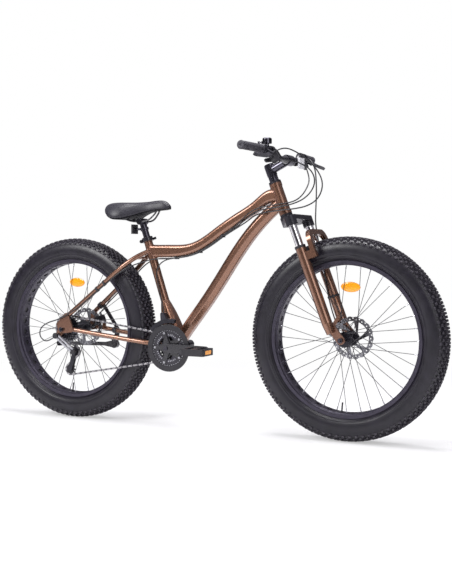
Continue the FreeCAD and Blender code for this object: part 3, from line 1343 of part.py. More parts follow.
def fork_crown():
    bottom = CROWN_TOP + CROWN_DEPTH
    circles = [(0, 0, CROWN_MIDDLE_RADIUS), (LEG_AHEAD, -LEG_Y, CROWN_CLAMP_RADIUS),
               (LEG_AHEAD, LEG_Y, CROWN_CLAMP_RADIUS)]
    arms = plate(circles, lambda u, v: on_steerer(u, v, -bottom), STEER_UP * (CROWN_DEPTH - CROWN_SHOULDER))
    middle = cylinder(on_steerer(0, 0, -bottom), on_steerer(0, 0, -CROWN_TOP), CROWN_MIDDLE_RADIUS)
    clamp_bottom = CROWN_TOP + CROWN_CLAMP_DEPTH
    clamps = [leg_rod(side, CROWN_TOP + CROWN_SHOULDER, clamp_bottom, CROWN_CLAMP_RADIUS) for side in SIDES]
    steerer = cylinder(on_steerer(0, 0, -bottom), on_steerer(0, 0, STEERER_TOP - GAP), STEERER_RADIUS)
    bores = [leg_rod(side, clamp_bottom - STANCHION_SOCKET, clamp_bottom + OVERRUN, STANCHION_RADIUS + FIT)
             for side in SIDES]
    bores.append(cylinder(on_steerer(0, 0, -bottom - OVERRUN), on_steerer(0, 0, STEERER_TOP),
                          STEERER_RADIUS - STEERER_WALL))
    return fuse([arms, middle, steerer] + clamps).cut(bores)


def stanchions():
    top = CROWN_TOP + CROWN_CLAMP_DEPTH - STANCHION_SOCKET
    bottom = top + STANCHION_LENGTH
    return group([leg_rod(side, top, bottom, STANCHION_RADIUS).cut(
        leg_rod(side, top - OVERRUN, bottom + OVERRUN, STANCHION_RADIUS - STANCHION_WALL)) for side in SIDES])


def fork_arch():
    """Brace over the tire, on the plane ahead of the legs."""
    half = LEG_Y + LEG_RADIUS / 2
    inner_half = LEG_Y - LEG_RADIUS / 2
    inner_top = FORK_LENGTH - WHEEL_RADIUS - ARCH_TIRE_ROOM
    band = inner_top - ARCH_TOP
    round_in = ARCH_SHOULDER - band / 2
    bow_share = 1 - math.sqrt(0.5)
    outer = [(-half, -ARCH_FOOT_BOTTOM), (-half, -ARCH_TOP - ARCH_SHOULDER),
             ((-half + ARCH_SHOULDER * bow_share, -ARCH_TOP - ARCH_SHOULDER * bow_share),
              (ARCH_SHOULDER - half, -ARCH_TOP)), (half - ARCH_SHOULDER, -ARCH_TOP),
             ((half - ARCH_SHOULDER * bow_share, -ARCH_TOP - ARCH_SHOULDER * bow_share),
              (half, -ARCH_TOP - ARCH_SHOULDER)), (half, -ARCH_FOOT_BOTTOM)]
    inner = [(inner_half, -ARCH_FOOT_BOTTOM), (inner_half, -inner_top - round_in),
             ((inner_half - round_in * bow_share, -inner_top - round_in * bow_share),
              (inner_half - round_in, -inner_top)), (round_in - inner_half, -inner_top),
             ((round_in * bow_share - inner_half, -inner_top - round_in * bow_share),
              (-inner_half, -inner_top - round_in)), (-inner_half, -ARCH_FOOT_BOTTOM)]
    wire = outline(outer + inner, lambda y, h: on_steerer(ARCH_AHEAD, y, h))
    pieces = [Part.Face(wire).extrude(STEER_AHEAD * ARCH_THICKNESS)]
    middle = (ARCH_FOOT_TOP + ARCH_FOOT_BOTTOM) / 2
    radius = (ARCH_FOOT_BOTTOM - ARCH_FOOT_TOP) / 2
    for side in SIDES:
        first = side * inner_half
        circles = [(LEG_AHEAD, -middle, radius), (ARCH_AHEAD, -middle, radius)]
        pieces.append(plate(circles, lambda a, h: on_steerer(a, first, h), ACROSS * (side * half - first)))
    return pieces


def fork_lowers():
    pieces = fork_arch()
    bores = []
    for side in SIDES:
        taper = LEG_BOTTOM - 2 * LEG_RADIUS
        pieces.append(leg_rod(side, LEG_TOP, taper, LEG_RADIUS))
        pieces.append(cone(on_steerer(LEG_AHEAD, side * LEG_Y, -taper),
                           on_steerer(LEG_AHEAD, side * LEG_Y, -LEG_BOTTOM), LEG_RADIUS, LEG_FOOT_RADIUS))
        first = side * FRONT_HUB_HALF
        circles = [(FORK_OFFSET, -FORK_LENGTH, FORK_TIP_RADIUS), (LEG_AHEAD, -taper, LEG_FOOT_RADIUS)]
        depth = ACROSS * (side * FORK_TIP_THICKNESS)
        pieces.append(plate(circles, lambda a, h: on_steerer(a, first, h), depth))
        bores.append(leg_rod(side, LEG_TOP - OVERRUN, LEG_BORE_BOTTOM, STANCHION_RADIUS + FIT))
    end = FRONT_HUB_HALF + FORK_TIP_THICKNESS + OVERRUN
    bores.append(cylinder(FRONT_AXLE - ACROSS * end, FRONT_AXLE + ACROSS * end, AXLE_RADIUS + FIT))
    return fuse(pieces).cut(bores)


def fork_wipers():
    return group([leg_rod(side, LEG_TOP - WIPER_HEIGHT, LEG_TOP, WIPER_RADIUS).cut(
        leg_rod(side, LEG_TOP - WIPER_HEIGHT - OVERRUN, LEG_TOP + OVERRUN, STANCHION_RADIUS + FIT))
        for side in SIDES])


def bracket_y(rotor_y):
    """Middle of a caliper bracket, clear of the rotor's outer face."""
    return rotor_y + ROTOR_THICKNESS / 2 + GAP + CALIPER_BRACKET_THICKNESS / 2


def caliper_bracket(first, last, y, carrier, block):
    """Tab from a leg or stay to its caliper, on the XZ plane."""
    tab = plate_y(round_y([(first, CALIPER_BRACKET_RADIUS), (last, CALIPER_BRACKET_RADIUS)]),
                  y - CALIPER_BRACKET_THICKNESS / 2, y + CALIPER_BRACKET_THICKNESS / 2)
    return largest(tab.cut([carrier, block]))


def front_caliper_bracket():
    leg = leg_rod(1, LEG_TOP, LEG_BOTTOM - 2 * LEG_RADIUS, LEG_RADIUS)
    block = caliper_block(FRONT_AXLE, FRONT_ROTOR_Y, FRONT_CALIPER_ANGLE)
    high = on_rotor(FRONT_AXLE, FRONT_CALIPER_ANGLE, ROTOR_RADIUS + CALIPER_OUTSIDE / 2, -CALIPER_HALF)
    root = on_steerer(LEG_AHEAD, 0, -LEG_BORE_BOTTOM)
    return caliper_bracket(root, high, bracket_y(FRONT_ROTOR_Y), leg, block)


def rear_caliper_bracket():
    points = chainstay_points(1)
    stay = pipe(points, STAY_RADIUS)
    block = caliper_block(REAR_AXLE, REAR_ROTOR_Y, REAR_CALIPER_ANGLE)
    low = on_rotor(REAR_AXLE, REAR_CALIPER_ANGLE, ROTOR_RADIUS + CALIPER_OUTSIDE / 2, -CALIPER_HALF)
    return caliper_bracket(V(low.x, 0, points[-1].z), low, bracket_y(REAR_ROTOR_Y), stay, block)


def pitch_radius(teeth):
    return CHAIN_PITCH / (2 * math.sin(math.pi / teeth))


def sprocket(teeth, bore, y, thickness):
    radius = pitch_radius(teeth)
    low = y - thickness / 2
    teeth_line = toothed(teeth, radius - TOOTH_ROOT, radius + TOOTH_HEIGHT, TOOTH_shares, low)
    return holed(teeth_line, [circle(V(0, low, 0), bore, ACROSS)], ACROSS * thickness)


def ring_y(number):
    return CHAIN_Y - number * RING_PITCH_Y


def spider_faces():
    return ring_y(1) - RING_THICKNESS / 2, ring_y(2) + RING_THICKNESS / 2


def guard_outer():
    return ring_y(2) - RING_THICKNESS / 2 - GUARD_THICKNESS


def chainrings():
    bores = (GRANNY_BOLT_CIRCLE - RING_TAB, RING_BOLT_CIRCLE - RING_TAB, RING_BOLT_CIRCLE - RING_TAB)
    return put(group([sprocket(teeth, bore, ring_y(n), RING_THICKNESS)
                      for n, (teeth, bore) in enumerate(zip(RING_TEETH, bores))]), BB)


def chain_guard():
    seat = ring_y(2) - RING_THICKNESS / 2
    return put(stepped([(guard_outer(), seat, GUARD_RADIUS)], GUARD_BORE_RADIUS), BB)


def arm_faces():
    inner = -guard_outer() + CRANK_GUARD_ROOM
    return inner, inner + CRANK_THICKNESS


def crank_arm(side):
    """Crank arm pointing forward on the drive side and back on the left, with the pedal's spindle."""
    inner, outer = arm_faces()
    eye = BB + V(-side * CRANK_LENGTH, 0, 0)
    body = plate_y(round_y([(BB, CRANK_BOSS_RADIUS), (eye, CRANK_EYE_RADIUS)]), side * inner, side * outer)
    root = spider_faces()[0] if side < 0 else SHELL_HALF + CUP_FLANGE + SHELL_RING_ROOM
    pieces = [body, cylinder(BB + ACROSS * root, BB + ACROSS * (side * inner), CRANK_BOSS_RADIUS)]
    if side < 0:
        pieces += spider_arms()
    bore = cylinder(BB + ACROSS * (side * (inner - RING_PITCH_Y * 3)), BB + ACROSS * (side * (outer + OVERRUN)),
                    SPINDLE_RADIUS + FIT)
    tip = eye + ACROSS * (side * (outer + PEDAL_ROOM + PEDAL_WIDTH - PEDAL_CAP - GAP))
    spindle = cylinder(eye + ACROSS * (side * outer), tip, PEDAL_SPINDLE_RADIUS)
    return fuse(pieces).cut(bore).fuse(spindle)


def spider_arms():
    first, last = spider_faces()
    pieces = []
    for number in range(SPIDER_ARMS):
        turn = 2 * math.pi * (number + 0.5) / SPIDER_ARMS
        ray = V(math.cos(turn), 0, math.sin(turn))
        tip = BB + ray * RING_BOLT_CIRCLE
        pieces.append(plate_y(round_y([(BB, SPIDER_HUB_RADIUS), (tip, SPIDER_TIP_RADIUS)]), last, first))
        post = BB + ray * GRANNY_BOLT_CIRCLE
        near = ring_y(0) - RING_THICKNESS / 2
        pieces.append(cylinder(post + ACROSS * first, post + ACROSS * near, SPACER_PIN_RADIUS))
    return pieces


def crank_spindle():
    outer = arm_faces()[1]
    return cylinder(BB - ACROSS * outer, BB + ACROSS * outer, SPINDLE_RADIUS)


def crank_bolts():
    outer = arm_faces()[1]
    return group([cylinder(BB + ACROSS * (side * outer), BB + ACROSS * (side * (outer + CRANK_BOLT_HEAD)),
                           CRANK_BOLT_RADIUS) for side in SIDES])


def bottom_bracket():
    cups = []
    for side in SIDES:
        face = BB + ACROSS * (side * SHELL_HALF)
        body = cylinder(BB + ACROSS * (side * (SHELL_HALF - CUP_DEPTH)), face, SHELL_BORE_RADIUS - FIT)
        flange = cylinder(face, BB + ACROSS * (side * (SHELL_HALF + CUP_FLANGE)), CUP_FLANGE_RADIUS)
        bore = cylinder(BB, BB + ACROSS * (side * (SHELL_HALF + CUP_DEPTH)), SPINDLE_RADIUS + FIT)
        cups.append(body.fuse(flange).cut(bore))
    return group(cups)


def pedal_faces(side):
    outer = arm_faces()[1]
    return sorted((side * (outer + PEDAL_ROOM), side * (outer + PEDAL_ROOM + PEDAL_WIDTH)))


def pedal_place(side):
    return BB + V(-side * CRANK_LENGTH, 0, 0)


def rounded_box_wire(x_first, x_last, y_first, y_last, corner, z):
    corners = [(x_first + corner, y_first + corner, corner), (x_last - corner, y_first + corner, corner),
               (x_last - corner, y_last - corner, corner), (x_first + corner, y_last - corner, corner)]
    return belt([(u, v, r, 1) for u, v, r in corners], at_z(z))


def pedal(side):
    first, last = pedal_faces(side)
    half = PEDAL_LENGTH / 2
    low = -PEDAL_HEIGHT / 2
    corner = PEDAL_RAIL / 2
    outer = rounded_box_wire(-half, half, first, last, corner, low)
    holes = [rounded_box_wire(PEDAL_BARREL_RADIUS, half - PEDAL_RAIL, first + PEDAL_RAIL, last - PEDAL_RAIL,
                              corner, low),
             rounded_box_wire(PEDAL_RAIL - half, -PEDAL_BARREL_RADIUS, first + PEDAL_RAIL, last - PEDAL_RAIL,
                              corner, low)]
    body = holed(outer, holes, V(0, 0, PEDAL_HEIGHT))
    near, far = (first, last) if side > 0 else (last, first)
    bore = cylinder(V(0, near - side * OVERRUN, 0), V(0, far - side * PEDAL_CAP, 0), PEDAL_SPINDLE_RADIUS + FIT)
    pockets = [put(block, ORIGIN) for block in pedal_reflector_blocks(side, FIT)]
    return put(body.cut([bore] + pockets), pedal_place(side))


def pedal_reflector_blocks(side, room):
    first, last = pedal_faces(side)
    middle = (first + last) / 2
    blocks = []
    for end in SIDES:
        near, far = sorted((end * (PEDAL_LENGTH / 2 - PEDAL_REFLECTOR_DEPTH), end * PEDAL_LENGTH / 2))
        low = V(near - room, middle - PEDAL_REFLECTOR_WIDTH / 2 - room, -PEDAL_REFLECTOR_HEIGHT / 2 - room)
        high = V(far + room, middle + PEDAL_REFLECTOR_WIDTH / 2 + room, PEDAL_REFLECTOR_HEIGHT / 2 + room)
        blocks.append(box(low, high))
    return blocks


def pedal_reflectors(side):
    return put(group(pedal_reflector_blocks(side, 0)), pedal_place(side))


def cassette():
    last = CHAIN_Y - (len(COG_TEETH) - 1) * COG_PITCH_Y - COG_THICKNESS
    body = stepped([(last, CHAIN_Y + COG_THICKNESS / 2, COG_BODY_RADIUS)], COG_SEAT_RADIUS)
    cogs = [sprocket(teeth, COG_BODY_RADIUS + FIT, CHAIN_Y - n * COG_PITCH_Y, COG_THICKNESS)
            for n, teeth in enumerate(COG_TEETH)]
    return put(group([body] + cogs), REAR_AXLE)


def upper_jockey_place():
    return REAR_AXLE + V(UPPER_JOCKEY_AHEAD, CHAIN_Y, -UPPER_JOCKEY_DOWN)


def lower_jockey_place():
    return REAR_AXLE + V(LOWER_JOCKEY_AHEAD, CHAIN_Y, -LOWER_JOCKEY_DOWN)


def chain_circles(offset):
    """The chain's line round its sprockets, offset outward from the pitch line."""
    wheels = ((BB, RING_TEETH[0], 1), (REAR_AXLE, COG_TEETH[0], 1),
              (upper_jockey_place(), JOCKEY_TEETH, -1), (lower_jockey_place(), JOCKEY_TEETH, 1))
    return [(place.x, place.z, pitch_radius(teeth) + turn * offset, turn) for place, teeth, turn in wheels]


def chain_runs():
    circles = chain_circles(0)
    arrive, leave = tangents(circles)
    runs = []
    for index, (u, v, radius, turn) in enumerate(circles):
        after = (index + 1) % len(circles)
        u2, v2, radius2, turn2 = circles[after]
        start = V(u + radius * math.cos(leave[index]), 0, v + radius * math.sin(leave[index]))
        end = V(u2 + radius2 * math.cos(arrive[after]), 0, v2 + radius2 * math.sin(arrive[after]))
        runs.append((start, end))
    return runs


def chain():
    """Two side bands joined by pins along the straight runs."""
    inner = CHAIN_SLOT / 2
    outer = inner + CHAIN_PLATE
    bands = []
    for side in SIDES:
        low = CHAIN_Y + side * inner
        wires = [belt(chain_circles(offset), at_y(low)) for offset in (CHAIN_HALF_HEIGHT, -CHAIN_HALF_HEIGHT)]
        bands.append(holed(wires[0], [wires[1]], ACROSS * (side * CHAIN_PLATE)))
    pins = []
    for start, end in chain_runs():
        count = int((end - start).Length / CHAIN_PITCH)
        for number in range(CHAIN_END_PITCHES, count - CHAIN_END_PITCHES + 1):
            spot = start + unit(end - start) * (number * CHAIN_PITCH)
            pins.append(cylinder(spot + ACROSS * (CHAIN_Y - outer), spot + ACROSS * (CHAIN_Y + outer),
                                 CHAIN_PIN_RADIUS))
    return bands[0].fuse(bands[1:] + pins)


def jockey_wheel(place):
    half = CAGE_GAP - GAP
    wheel = sprocket(JOCKEY_TEETH, JOCKEY_BOLT_RADIUS + FIT, 0, JOCKEY_THICKNESS)
    bush = stepped([(-half, half, JOCKEY_HUB_RADIUS)], JOCKEY_BOLT_RADIUS + FIT)
    return put(wheel.fuse(bush).removeSplitter(), place)


def rear_cage():
    pieces = []
    ends = [(place, CAGE_RADIUS) for place in (upper_jockey_place(), lower_jockey_place())]
    for side in SIDES:
        near = CHAIN_Y + side * CAGE_GAP
        pieces.append(plate_y(round_y(ends), near, near + side * CAGE_THICKNESS))
    for place in (upper_jockey_place(), lower_jockey_place()):
        reach = ACROSS * (CAGE_GAP + CAGE_THICKNESS)
        pieces.append(cylinder(place - reach, place + reach, JOCKEY_BOLT_RADIUS))
    return fuse(pieces)


def rear_derailleur():
    """Upper knuckle on the hanger, two links, and the lower knuckle beside the cage."""
    hang = hanger_place()
    seat = -(DROPOUT_OUTER + GAP)
    cage_face = CHAIN_Y - CAGE_GAP - CAGE_THICKNESS - GAP
    low = upper_jockey_place()
    pieces = [cylinder(V(hang.x, seat, hang.z), V(hang.x, seat - KNUCKLE_LENGTH, hang.z), KNUCKLE_RADIUS),
              cylinder(V(hang.x, -DROPOUT_INNER, hang.z), V(hang.x, seat, hang.z), HANGER_BOLT_RADIUS),
              cylinder(V(low.x, cage_face, low.z), V(low.x, cage_face - P_KNUCKLE_LENGTH, low.z),
                       P_KNUCKLE_RADIUS)]
    across = unit(V(low.z - hang.z, 0, hang.x - low.x))
    for side in SIDES:
        shift = across * (side * LINK_RADIUS)
        start = V(hang.x, seat - KNUCKLE_LENGTH / 2, hang.z) + shift
        end = V(low.x, cage_face - P_KNUCKLE_LENGTH / 2, low.z) + shift
        pieces.append(cylinder(start, end, LINK_THICKNESS))
    return fuse(pieces)


def sector(inner, outer, first, last, y_first, y_last):
    angles = [math.radians(angle) for angle in (first, last)]
    wire = window(inner, outer, angles[0], angles[1], 0, y_first)
    return put(Part.Face(wire).extrude(ACROSS * (y_last - y_first)), BB)


def front_cage():
    top = FRONT_CAGE_INNER_RADIUS + FRONT_CAGE_DEPTH
    pieces = []
    for side in SIDES:
        near = CHAIN_Y + side * FRONT_CAGE_GAP
        pieces.append(sector(FRONT_CAGE_INNER_RADIUS, top, FRONT_CAGE_START, FRONT_CAGE_END, near,
                             near + side * FRONT_CAGE_PLATE))
    pieces.append(sector(top - FRONT_CAGE_PLATE, top, FRONT_CAGE_START, FRONT_CAGE_END,
                         CHAIN_Y - FRONT_CAGE_GAP, CHAIN_Y + FRONT_CAGE_GAP))
    return fuse(pieces)


def front_derailleur():
    """Body on the yoke's side, above the cage's inner plate."""
    low = on_seat_tube(FRONT_MECH_AT)
    high = on_seat_tube(FRONT_MECH_AT + FRONT_MECH_HEIGHT)
    edge = CHAIN_Y + FRONT_CAGE_GAP + FRONT_CAGE_PLATE + GAP
    body = plate_y(round_y([(low, FRONT_MECH_RADIUS + FRONT_MECH_BAND), (high, FRONT_MECH_RADIUS)]), edge, 0)
    return largest(body.cut(yoke_solid(0)))


def seatpost():
    low = on_seat_tube(SEAT_TUBE_LENGTH - POST_INSERT)
    half = ACROSS * SEAT_CLAMP_HALF
    head = cylinder(SEAT_CLAMP - half, SEAT_CLAMP + half, SEAT_CLAMP_RADIUS)
    body = cylinder(low, SEAT_CLAMP, POST_RADIUS).fuse(head)
    bores = []
    for side in SIDES:
        spot = SEAT_CLAMP + ACROSS * (side * RAIL_HALF)
        reach = V(SEAT_CLAMP_RADIUS + OVERRUN, 0, 0)
        bores.append(cylinder(spot - reach, spot + reach, RAIL_RADIUS + FIT))
    bores.append(cylinder(low - SEAT_UP * OVERRUN, SEAT_CLAMP - SEAT_UP * SEAT_CLAMP_RADIUS,
                          POST_RADIUS - POST_WALL))
    return body.cut(bores)


def collar():
    """Seat clamp collar with the lugs of its quick release."""
    low = on_seat_tube(SEAT_TUBE_LENGTH - COLLAR_HEIGHT)
    lug = on_seat_tube(SEAT_TUBE_LENGTH - COLLAR_HEIGHT / 2, -COLLAR_LUG_OUT)
    body = fuse([cylinder(low, SEAT_TOP, SEAT_TUBE_RADIUS + COLLAR_WALL),
                 cylinder(lug - ACROSS * COLLAR_LUG, lug + ACROSS * COLLAR_LUG, COLLAR_LUG_RADIUS)])
    run = SEAT_UP * OVERRUN
    end = ACROSS * COLLAR_LUG
    over = ACROSS * OVERRUN
    bolt = cylinder(lug - end - over, lug + end + over, QR_RADIUS + FIT)
    body = body.cut([cylinder(low - run, SEAT_TOP + run, SEAT_TUBE_RADIUS + FIT), bolt])
    nut = cylinder(lug - end - ACROSS * QR_NUT, lug - end, QR_NUT_RADIUS)
    return group([body, cylinder(lug - end, lug + end, QR_RADIUS).fuse(nut)])


def quick_release_place():
    """Axis of the cam that the quick-release lever turns on, on the collar's left."""
    return on_seat_tube(SEAT_TUBE_LENGTH - COLLAR_HEIGHT / 2, -COLLAR_LUG_OUT,
                        COLLAR_LUG + GAP + QR_HUB_RADIUS)


def seat_lever():
    """Cam lever lying along the collar's left side, pointing forward."""
    hub_y = quick_release_place().y
    start = SEAT_TUBE_LENGTH - COLLAR_HEIGHT / 2 - QR_THICKNESS / 2
    root = -COLLAR_LUG_OUT
    blade_y = SEAT_TUBE_RADIUS + COLLAR_WALL + QR_ROOM + QR_BLADE_RADIUS
    circles = ((root, hub_y, QR_HUB_RADIUS), (root + QR_ELBOW, blade_y, QR_BLADE_RADIUS),
               (root + QR_LENGTH, blade_y, QR_TIP_RADIUS))
    spread = SEAT_UP * QR_THICKNESS
    return fuse([plate(pair, lambda u, v: on_seat_tube(start, u, v), spread)
                 for pair in (circles[:2], circles[1:])])


def saddle_stations():
    """Middle, half width, top and bottom of each station, rear to nose."""
    rear = SEAT_CLAMP.x + SADDLE_NOSE - SADDLE_LENGTH
    top = SEAT_CLAMP.z + SADDLE_TOP
    return [(rear + along * SADDLE_LENGTH, wide * SADDLE_HALF, top - (1 - high) * SADDLE_DEPTH,
             top - (1 - low) * SADDLE_DEPTH) for along, wide, high, low in SADDLE_STATION_shares]


def saddle():
    """Padded cover with a crowned top and drawn-in sides."""
    wires = []
    for x, half, top, bottom in saddle_stations():
        shoulder = half * SADDLE_SHOULDER_share
        brow = top - SADDLE_CROWN_share * (top - bottom)
        waist = (brow + bottom) / 2
        flank = (half + shoulder) / 2 + SADDLE_CROWN_share * (half - shoulder)
        steps = [(-half, bottom), (half, bottom), ((flank, waist), (shoulder, brow)),
                 ((0, top), (-shoulder, brow)), ((-flank, waist), (-half, bottom))]
        wires.append(outline(steps, lambda y, z: V(x, y, z)))
    return loft(wires)


def saddle_base():
    wires = []
    for x, half, top, bottom in saddle_stations():
        edge = half - SADDLE_BASE
        steps = [(-edge, bottom - SADDLE_BASE), (edge, bottom - SADDLE_BASE),
                 (edge, bottom - GAP), (-edge, bottom - GAP)]
        wires.append(outline(steps, lambda y, z: V(x, y, z)))
    return loft(wires)


def saddle_rails():
    rails = []
    cover = [saddle(), saddle_base()]
    for side in SIDES:
        y = side * RAIL_HALF
        points = [SEAT_CLAMP + V(-RAIL_BACK, y, SADDLE_TOP / 2), SEAT_CLAMP + V(-RAIL_BACK, y, RAIL_LIFT_BACK),
                  SEAT_CLAMP + V(-RAIL_FLAT, y, 0), SEAT_CLAMP + V(RAIL_FLAT, y, 0),
                  SEAT_CLAMP + V(RAIL_AHEAD, y / 2, RAIL_LIFT_AHEAD),
                  SEAT_CLAMP + V(RAIL_AHEAD + RAIL_HALF / 2, y / 2, SADDLE_TOP - RAIL_HALF / 2)]
        rails.append(lowest(pipe(points, RAIL_RADIUS).cut(cover)))
    return group(rails)


def lowest(shape):
    return min(shape.Solids, key=lambda solid: solid.BoundBox.ZMin)


def rear_reflector_place():
    return on_seat_tube(SEAT_TUBE_LENGTH + REAR_REFLECTOR_AT)


def rear_reflector():
    spot = rear_reflector_place()
    low = V(spot.x - REAR_REFLECTOR_BACK, -REAR_REFLECTOR_WIDTH / 2, spot.z - REAR_REFLECTOR_HEIGHT / 2)
    return box(low, low + V(REAR_REFLECTOR_DEPTH, REAR_REFLECTOR_WIDTH, REAR_REFLECTOR_HEIGHT))


def rear_reflector_bracket():
    spot = rear_reflector_place()
    half = SEAT_UP * (REAR_CLIP_HEIGHT / 2)
    back = V(spot.x - REAR_REFLECTOR_BACK, 0, spot.z)
    band = cylinder(spot - half, spot + half, POST_RADIUS + REAR_CLIP_WALL)
    arm = cylinder(spot, back, REAR_CLIP_HEIGHT / 2)
    run = SEAT_UP * POST_RADIUS
    post = cylinder(spot - half - run, spot + half + run, POST_RADIUS + FIT)
    return largest(band.fuse(arm).cut([post, rear_reflector()]))


def stand_places():
    """Where the stand's bracket meets the left seatstay and chainstay, and its pivot."""
    upper = seatstay_points(1)
    lower = chainstay_points(1)
    share = STAND_CLAMP_UPPER_share
    return (mix(upper[-2], upper[-1], share), unit(upper[-1] - upper[-2]),
            mix(lower[-2], lower[-1], STAND_CLAMP_LOWER_share), unit(lower[-1] - lower[-2]),
            REAR_AXLE + V(STAND_PIVOT_AHEAD, 0, -STAND_PIVOT_DOWN))


def kickstand_bracket():
    high, high_way, low, low_way, pivot = stand_places()
    first = DROPOUT_OUTER
    last = first + STAND_PLATE
    pieces = [plate_y(round_y([(high, STAND_STRUT_RADIUS), (low, STAND_STRUT_RADIUS)]), first, last),
              plate_y(round_y([(low, STAND_STRUT_RADIUS), (pivot, STAND_PIVOT_RADIUS)]), first, last)]
    stays = [pipe(seatstay_points(1), STAY_RADIUS + FIT), pipe(chainstay_points(1), STAY_RADIUS + FIT)]
    for spot, way in ((high, high_way), (low, low_way)):
        half = way * (STAND_CLAMP_LENGTH / 2)
        pieces.append(cylinder(spot - half, spot + half, STAY_RADIUS + STAND_CLAMP_WALL))
        pieces.append(cylinder(spot, V(spot.x, first, spot.z), STAND_STRUT_RADIUS))
    pin = V(pivot.x, last, pivot.z)
    pieces.append(cylinder(pin, pin + ACROSS * (GAP + STAND_LEG_THICKNESS), STAND_PIN_RADIUS))
    return largest(fuse(pieces).cut(stays))


def kickstand_leg():
    pivot = stand_places()[-1]
    first = DROPOUT_OUTER + STAND_PLATE + GAP
    last = first + STAND_LEG_THICKNESS
    foot = pivot + V(-STAND_LEG_LENGTH, 0, -STAND_LEG_DROP)
    neck = mix(pivot, foot, STAND_NECK_share)
    ankle = mix(pivot, foot, 1 - STAND_NECK_share)
    outlines = ([(pivot, STAND_PIVOT_RADIUS), (neck, STAND_LEG_RADIUS)],
                [(neck, STAND_LEG_RADIUS), (ankle, STAND_LEG_RADIUS)],
                [(ankle, STAND_LEG_RADIUS), (foot, STAND_FOOT_RADIUS)])
    body = fuse([plate_y(round_y(circles), first, last) for circles in outlines])
    run = ACROSS * OVERRUN
    bore = cylinder(V(pivot.x, first, pivot.z) - run, V(pivot.x, last, pivot.z) + run, STAND_PIN_RADIUS + FIT)
    return body.cut(bore)


def wheel_reflector(right_flange):
    """Oval plate just inside the drive-side spokes, at the top of the wheel."""
    reach = WHEEL_REFLECTOR_AT + WHEEL_REFLECTOR_HEIGHT / 2
    rim_reach = RIM_BORE_RADIUS - NIPPLE_RIM_ROOM
    share = (reach - FLANGE_HOLE_RADIUS) / (rim_reach - FLANGE_HOLE_RADIUS)
    inner_spoke = right_flange - FLANGE_THICKNESS / 2 - SPOKE_RADIUS
    outer = GAP - (inner_spoke + (SPOKE_RIM_OFFSET - inner_spoke) * share)
    half = (WHEEL_REFLECTOR_LENGTH - WHEEL_REFLECTOR_HEIGHT) / 2
    radius = WHEEL_REFLECTOR_HEIGHT / 2
    return plate_y([(-half, WHEEL_REFLECTOR_AT, radius), (half, WHEEL_REFLECTOR_AT, radius)],
                   outer, outer + WHEEL_REFLECTOR_DEPTH)


def housing(name, route):
    """Cable housing along a route; prints its bends and its volume against section times length."""
    points = [V(*point) for point in route]
    path, radii = rounded_path(points)
    solid = pipe(points, HOUSING_RADIUS)
    expected = math.pi * HOUSING_RADIUS ** 2 * path.Length
    print("%s: length %.0f, smallest bend radius %.1f, volume ratio %.4f"
          % (name, path.Length, min(radii), solid.Volume / expected))
    return solid


def route_at(route, x):
    """Point of a route's straight runs at x."""
    for first, last in zip(route, route[1:]):
        if last[0] <= x < first[0]:
            return mix(V(*first), V(*last), (first[0] - x) / (first[0] - last[0]))


def top_clip(x, cables):
    """Block under the top tube that the three housings run through."""
    middle = route_at(REAR_SHIFT_ROUTE, x)
    low = V(x - CLIP_LENGTH / 2, -CLIP_HALF, middle.z - HOUSING_RADIUS - CLIP_WALL)
    block = box(low, low + V(CLIP_LENGTH, 2 * CLIP_HALF, CLIP_DEPTH + HOUSING_RADIUS + CLIP_WALL))
    return lowest(block.cut([top_tube_pieces()[1]] + cables))


def tie(rod_point, rod_way, rod_radius, route_point, cutters):
    """Band round a tube and the housing beside it, square to the tube."""
    offset = route_point - rod_point
    offset = offset - rod_way * offset.dot(rod_way)
    side = unit(offset)
    up = rod_way.cross(side)
    circles = [(0, 0, rod_radius + CLIP_WALL), (offset.Length, 0, HOUSING_RADIUS + CLIP_WALL)]
    start = rod_point - rod_way * (CLIP_LENGTH / 2)
    return plate(circles, lambda u, v: start + side * u + up * v, rod_way * CLIP_LENGTH).cut(cutters)


def nearest_on(route, spot):
    """Point of a route's straight runs nearest to spot."""
    found = []
    for first, last in zip(route, route[1:]):
        run = V(*last) - V(*first)
        share = (spot - V(*first)).dot(run) / run.dot(run)
        found.append(V(*first) + run * min(max(share, 0), 1))
    return min(found, key=lambda point: (point - spot).Length)


def frame_cables():
    """Rear brake, rear gear and front gear housings with the clips that hold them."""
    routes = (("rear brake housing", REAR_BRAKE_ROUTE), ("rear gear housing", REAR_SHIFT_ROUTE),
              ("front gear housing", FRONT_SHIFT_ROUTE))
    cables = [housing(name, route) for name, route in routes]
    clips = [top_clip(x, cables) for x in TOP_CLIPS]
    for side, route in ((1, REAR_BRAKE_ROUTE), (-1, REAR_SHIFT_ROUTE)):
        points = seatstay_points(side)
        cutters = [pipe(points, STAY_RADIUS)] + cables
        for share in STAY_CLIP_shares:
            spot = mix(points[3], points[4], share)
            clips.append(tie(spot, unit(points[4] - points[3]), STAY_RADIUS, nearest_on(route, spot), cutters))
    return group(cables + clips)


def leg_clips():
    """Bands holding the front brake housing to the left fork leg."""
    cable = pipe([V(*point) for point in FRONT_BRAKE_ROUTE], HOUSING_RADIUS)
    leg = leg_rod(1, LEG_TOP, LEG_BOTTOM, LEG_RADIUS)
    clips = []
    for down in LEG_CLIPS:
        spot = on_steerer(LEG_AHEAD, LEG_Y, -down)
        clips.append(tie(spot, STEER_UP, LEG_RADIUS, nearest_on(FRONT_BRAKE_ROUTE, spot), [leg, cable]))
    return clips


def on_wheel(shape, axle_place):
    """Shape of a wheel at rest, turned so that its valve is a little behind the lowest point."""
    return put(shape.rotated(V(0, 0, 0), ACROSS, WHEEL_TURN), axle_place)


